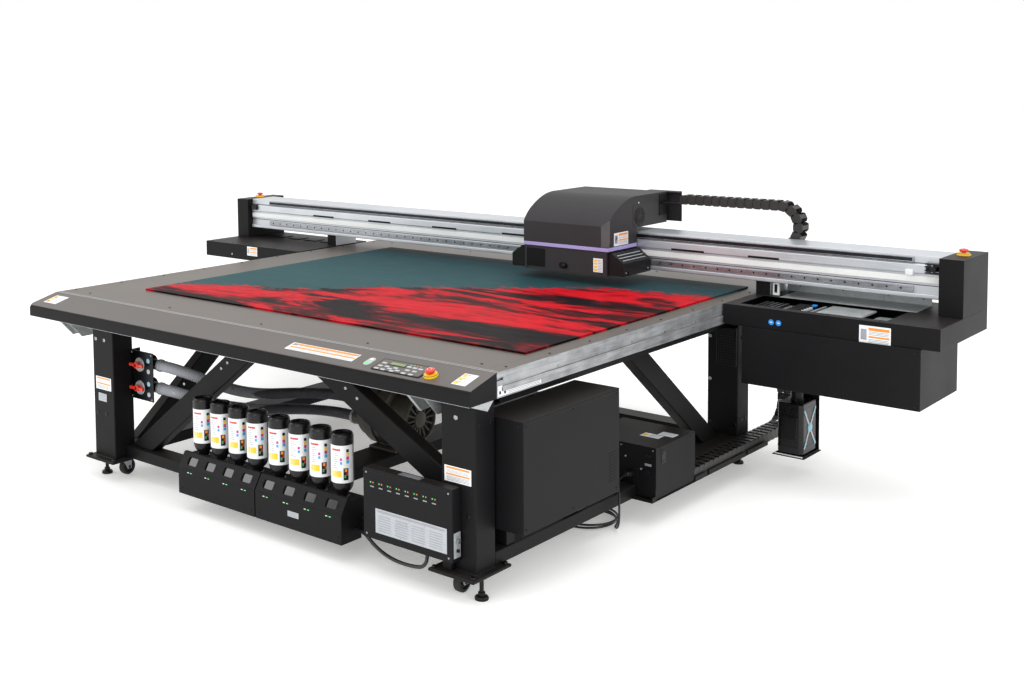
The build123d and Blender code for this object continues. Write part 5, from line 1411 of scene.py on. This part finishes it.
def chainLink(piece, matrix, width, height):
    # one link: two waisted side plates that lap their neighbours, a crossbar above and below
    p, h = chain["pitch"], height
    parts = []
    for side, shift in ((-1, 0.0), (1, 0.0)):
        inner, outer = sorted((side * (width / 2 - chain["plate"]), side * width / 2))
        plate = prism([(-p * 0.56, -h * 0.30), (-p * 0.30, -h / 2), (p * 0.34, -h / 2), (p * 0.50, -h * 0.26),
                       (p * 0.50, h * 0.26), (p * 0.34, h / 2), (-p * 0.30, h / 2), (-p * 0.56, h * 0.30)], "y",
                      inner, outer, 0)
        parts.append(plate)
        boss = sorted((side * (width / 2 - 0.0006), side * (width / 2 - 0.0060)))
        parts.append(cuboid((-p * 0.12, boss[0], -h * 0.13), (p * 0.12, boss[1], h * 0.13), 0))
    for z in (-h / 2, h / 2 - chain["bar"]):
        parts.append(cuboid((-p * 0.24, -width / 2 + 0.001, z + 0.0001), (p * 0.24, width / 2 - 0.001, z + chain["bar"] - 0.0001), 0))
    for part in parts:
        bmesh.ops.transform(part, matrix=matrix, verts=part.verts)
        piece.add(part, "chainNylon")


def straightChain(piece, start, end, width, height):
    # links from start to end, both points on the chain's middle line
    run = Vector(end) - Vector(start)
    heading = run.normalized()
    side = Vector((0, 0, 1)).cross(heading)
    count = max(1, round(run.length / chain["pitch"]))
    turn = Matrix((heading, side, Vector((0, 0, 1)))).transposed().to_4x4()
    stretch = Matrix.Diagonal((run.length / count / chain["pitch"], 1, 1, 1))
    for i in range(count):
        spot = Vector(start) + run * ((i + 0.5) / count)
        chainLink(piece, Matrix.Translation(spot) @ turn @ stretch, width, height)


def bentChain(piece, middle, heading, radius, width, height):
    # links round half a turn, from the low run up to the high run
    count = max(5, round(math.pi * (radius - height / 2) / chain["pitch"]))
    heading = Vector(heading)
    side = Vector((0, 0, 1)).cross(heading)
    mean = radius - height / 2
    stretch = Matrix.Diagonal((math.pi * mean / count / chain["pitch"], 1, 1, 1))
    for i in range(count):
        angle = -math.pi / 2 + math.pi * (i + 0.5) / count
        spot = Vector(middle) + heading * (mean * math.cos(angle)) + Vector((0, 0, mean * math.sin(angle)))
        ahead = heading * -math.sin(angle) + Vector((0, 0, math.cos(angle)))
        inward = ahead.cross(side)
        turn = Matrix((ahead, side, inward)).transposed().to_4x4()
        chainLink(piece, Matrix.Translation(spot) @ turn @ stretch, width, height)


top, bend, radius = 1.208, 1.299, 0.118
half = chain["height"] / 2
middleY = 1.093
upper = Piece("carriage_chain_links_upper")
straightChain(upper, (0.794, middleY, top - half), (bend, middleY, top - half), 0.070, 0.0456)
upperPiece = upper.done("", final=True)
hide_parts("carriage_chain_upper")
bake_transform(upperPiece)
lower = Piece("carriage_chain_links_lower")
straightChain(lower, (-0.160, middleY, top - 2 * radius + half), (bend, middleY, top - 2 * radius + half), 0.070, 0.0456)
lowerPiece = lower.done("", final=True)
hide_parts("carriage_chain_lower")
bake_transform(lowerPiece)
turnPiece = Piece("carriage_chain_links_bend")
bentChain(turnPiece, (bend, middleY, top - radius), (1, 0, 0), radius, 0.070, 0.0456)
turnPiece.done("carriage_chain", ["carriage_chain_bend"])

low, bend, radius = 0.108, 1.060, 0.148
floorRun = Piece("floor_chain_links")
floorBend = Piece("floor_chain_links_bend")
for x in (1.2745, 1.3155):
    straightChain(floorRun, (x, 0.200, low + half), (x, bend, low + half), 0.036, 0.0456)
    bentChain(floorBend, (x, bend, low + radius), (0, 1, 0), radius, 0.036, 0.0456)
floorPieceRun = floorRun.done("", final=True)
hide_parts("floor_chain_lower")
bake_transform(floorPieceRun)
floorBend.done("floor_chain", ["floor_chain_bend"])
print("chains linked")
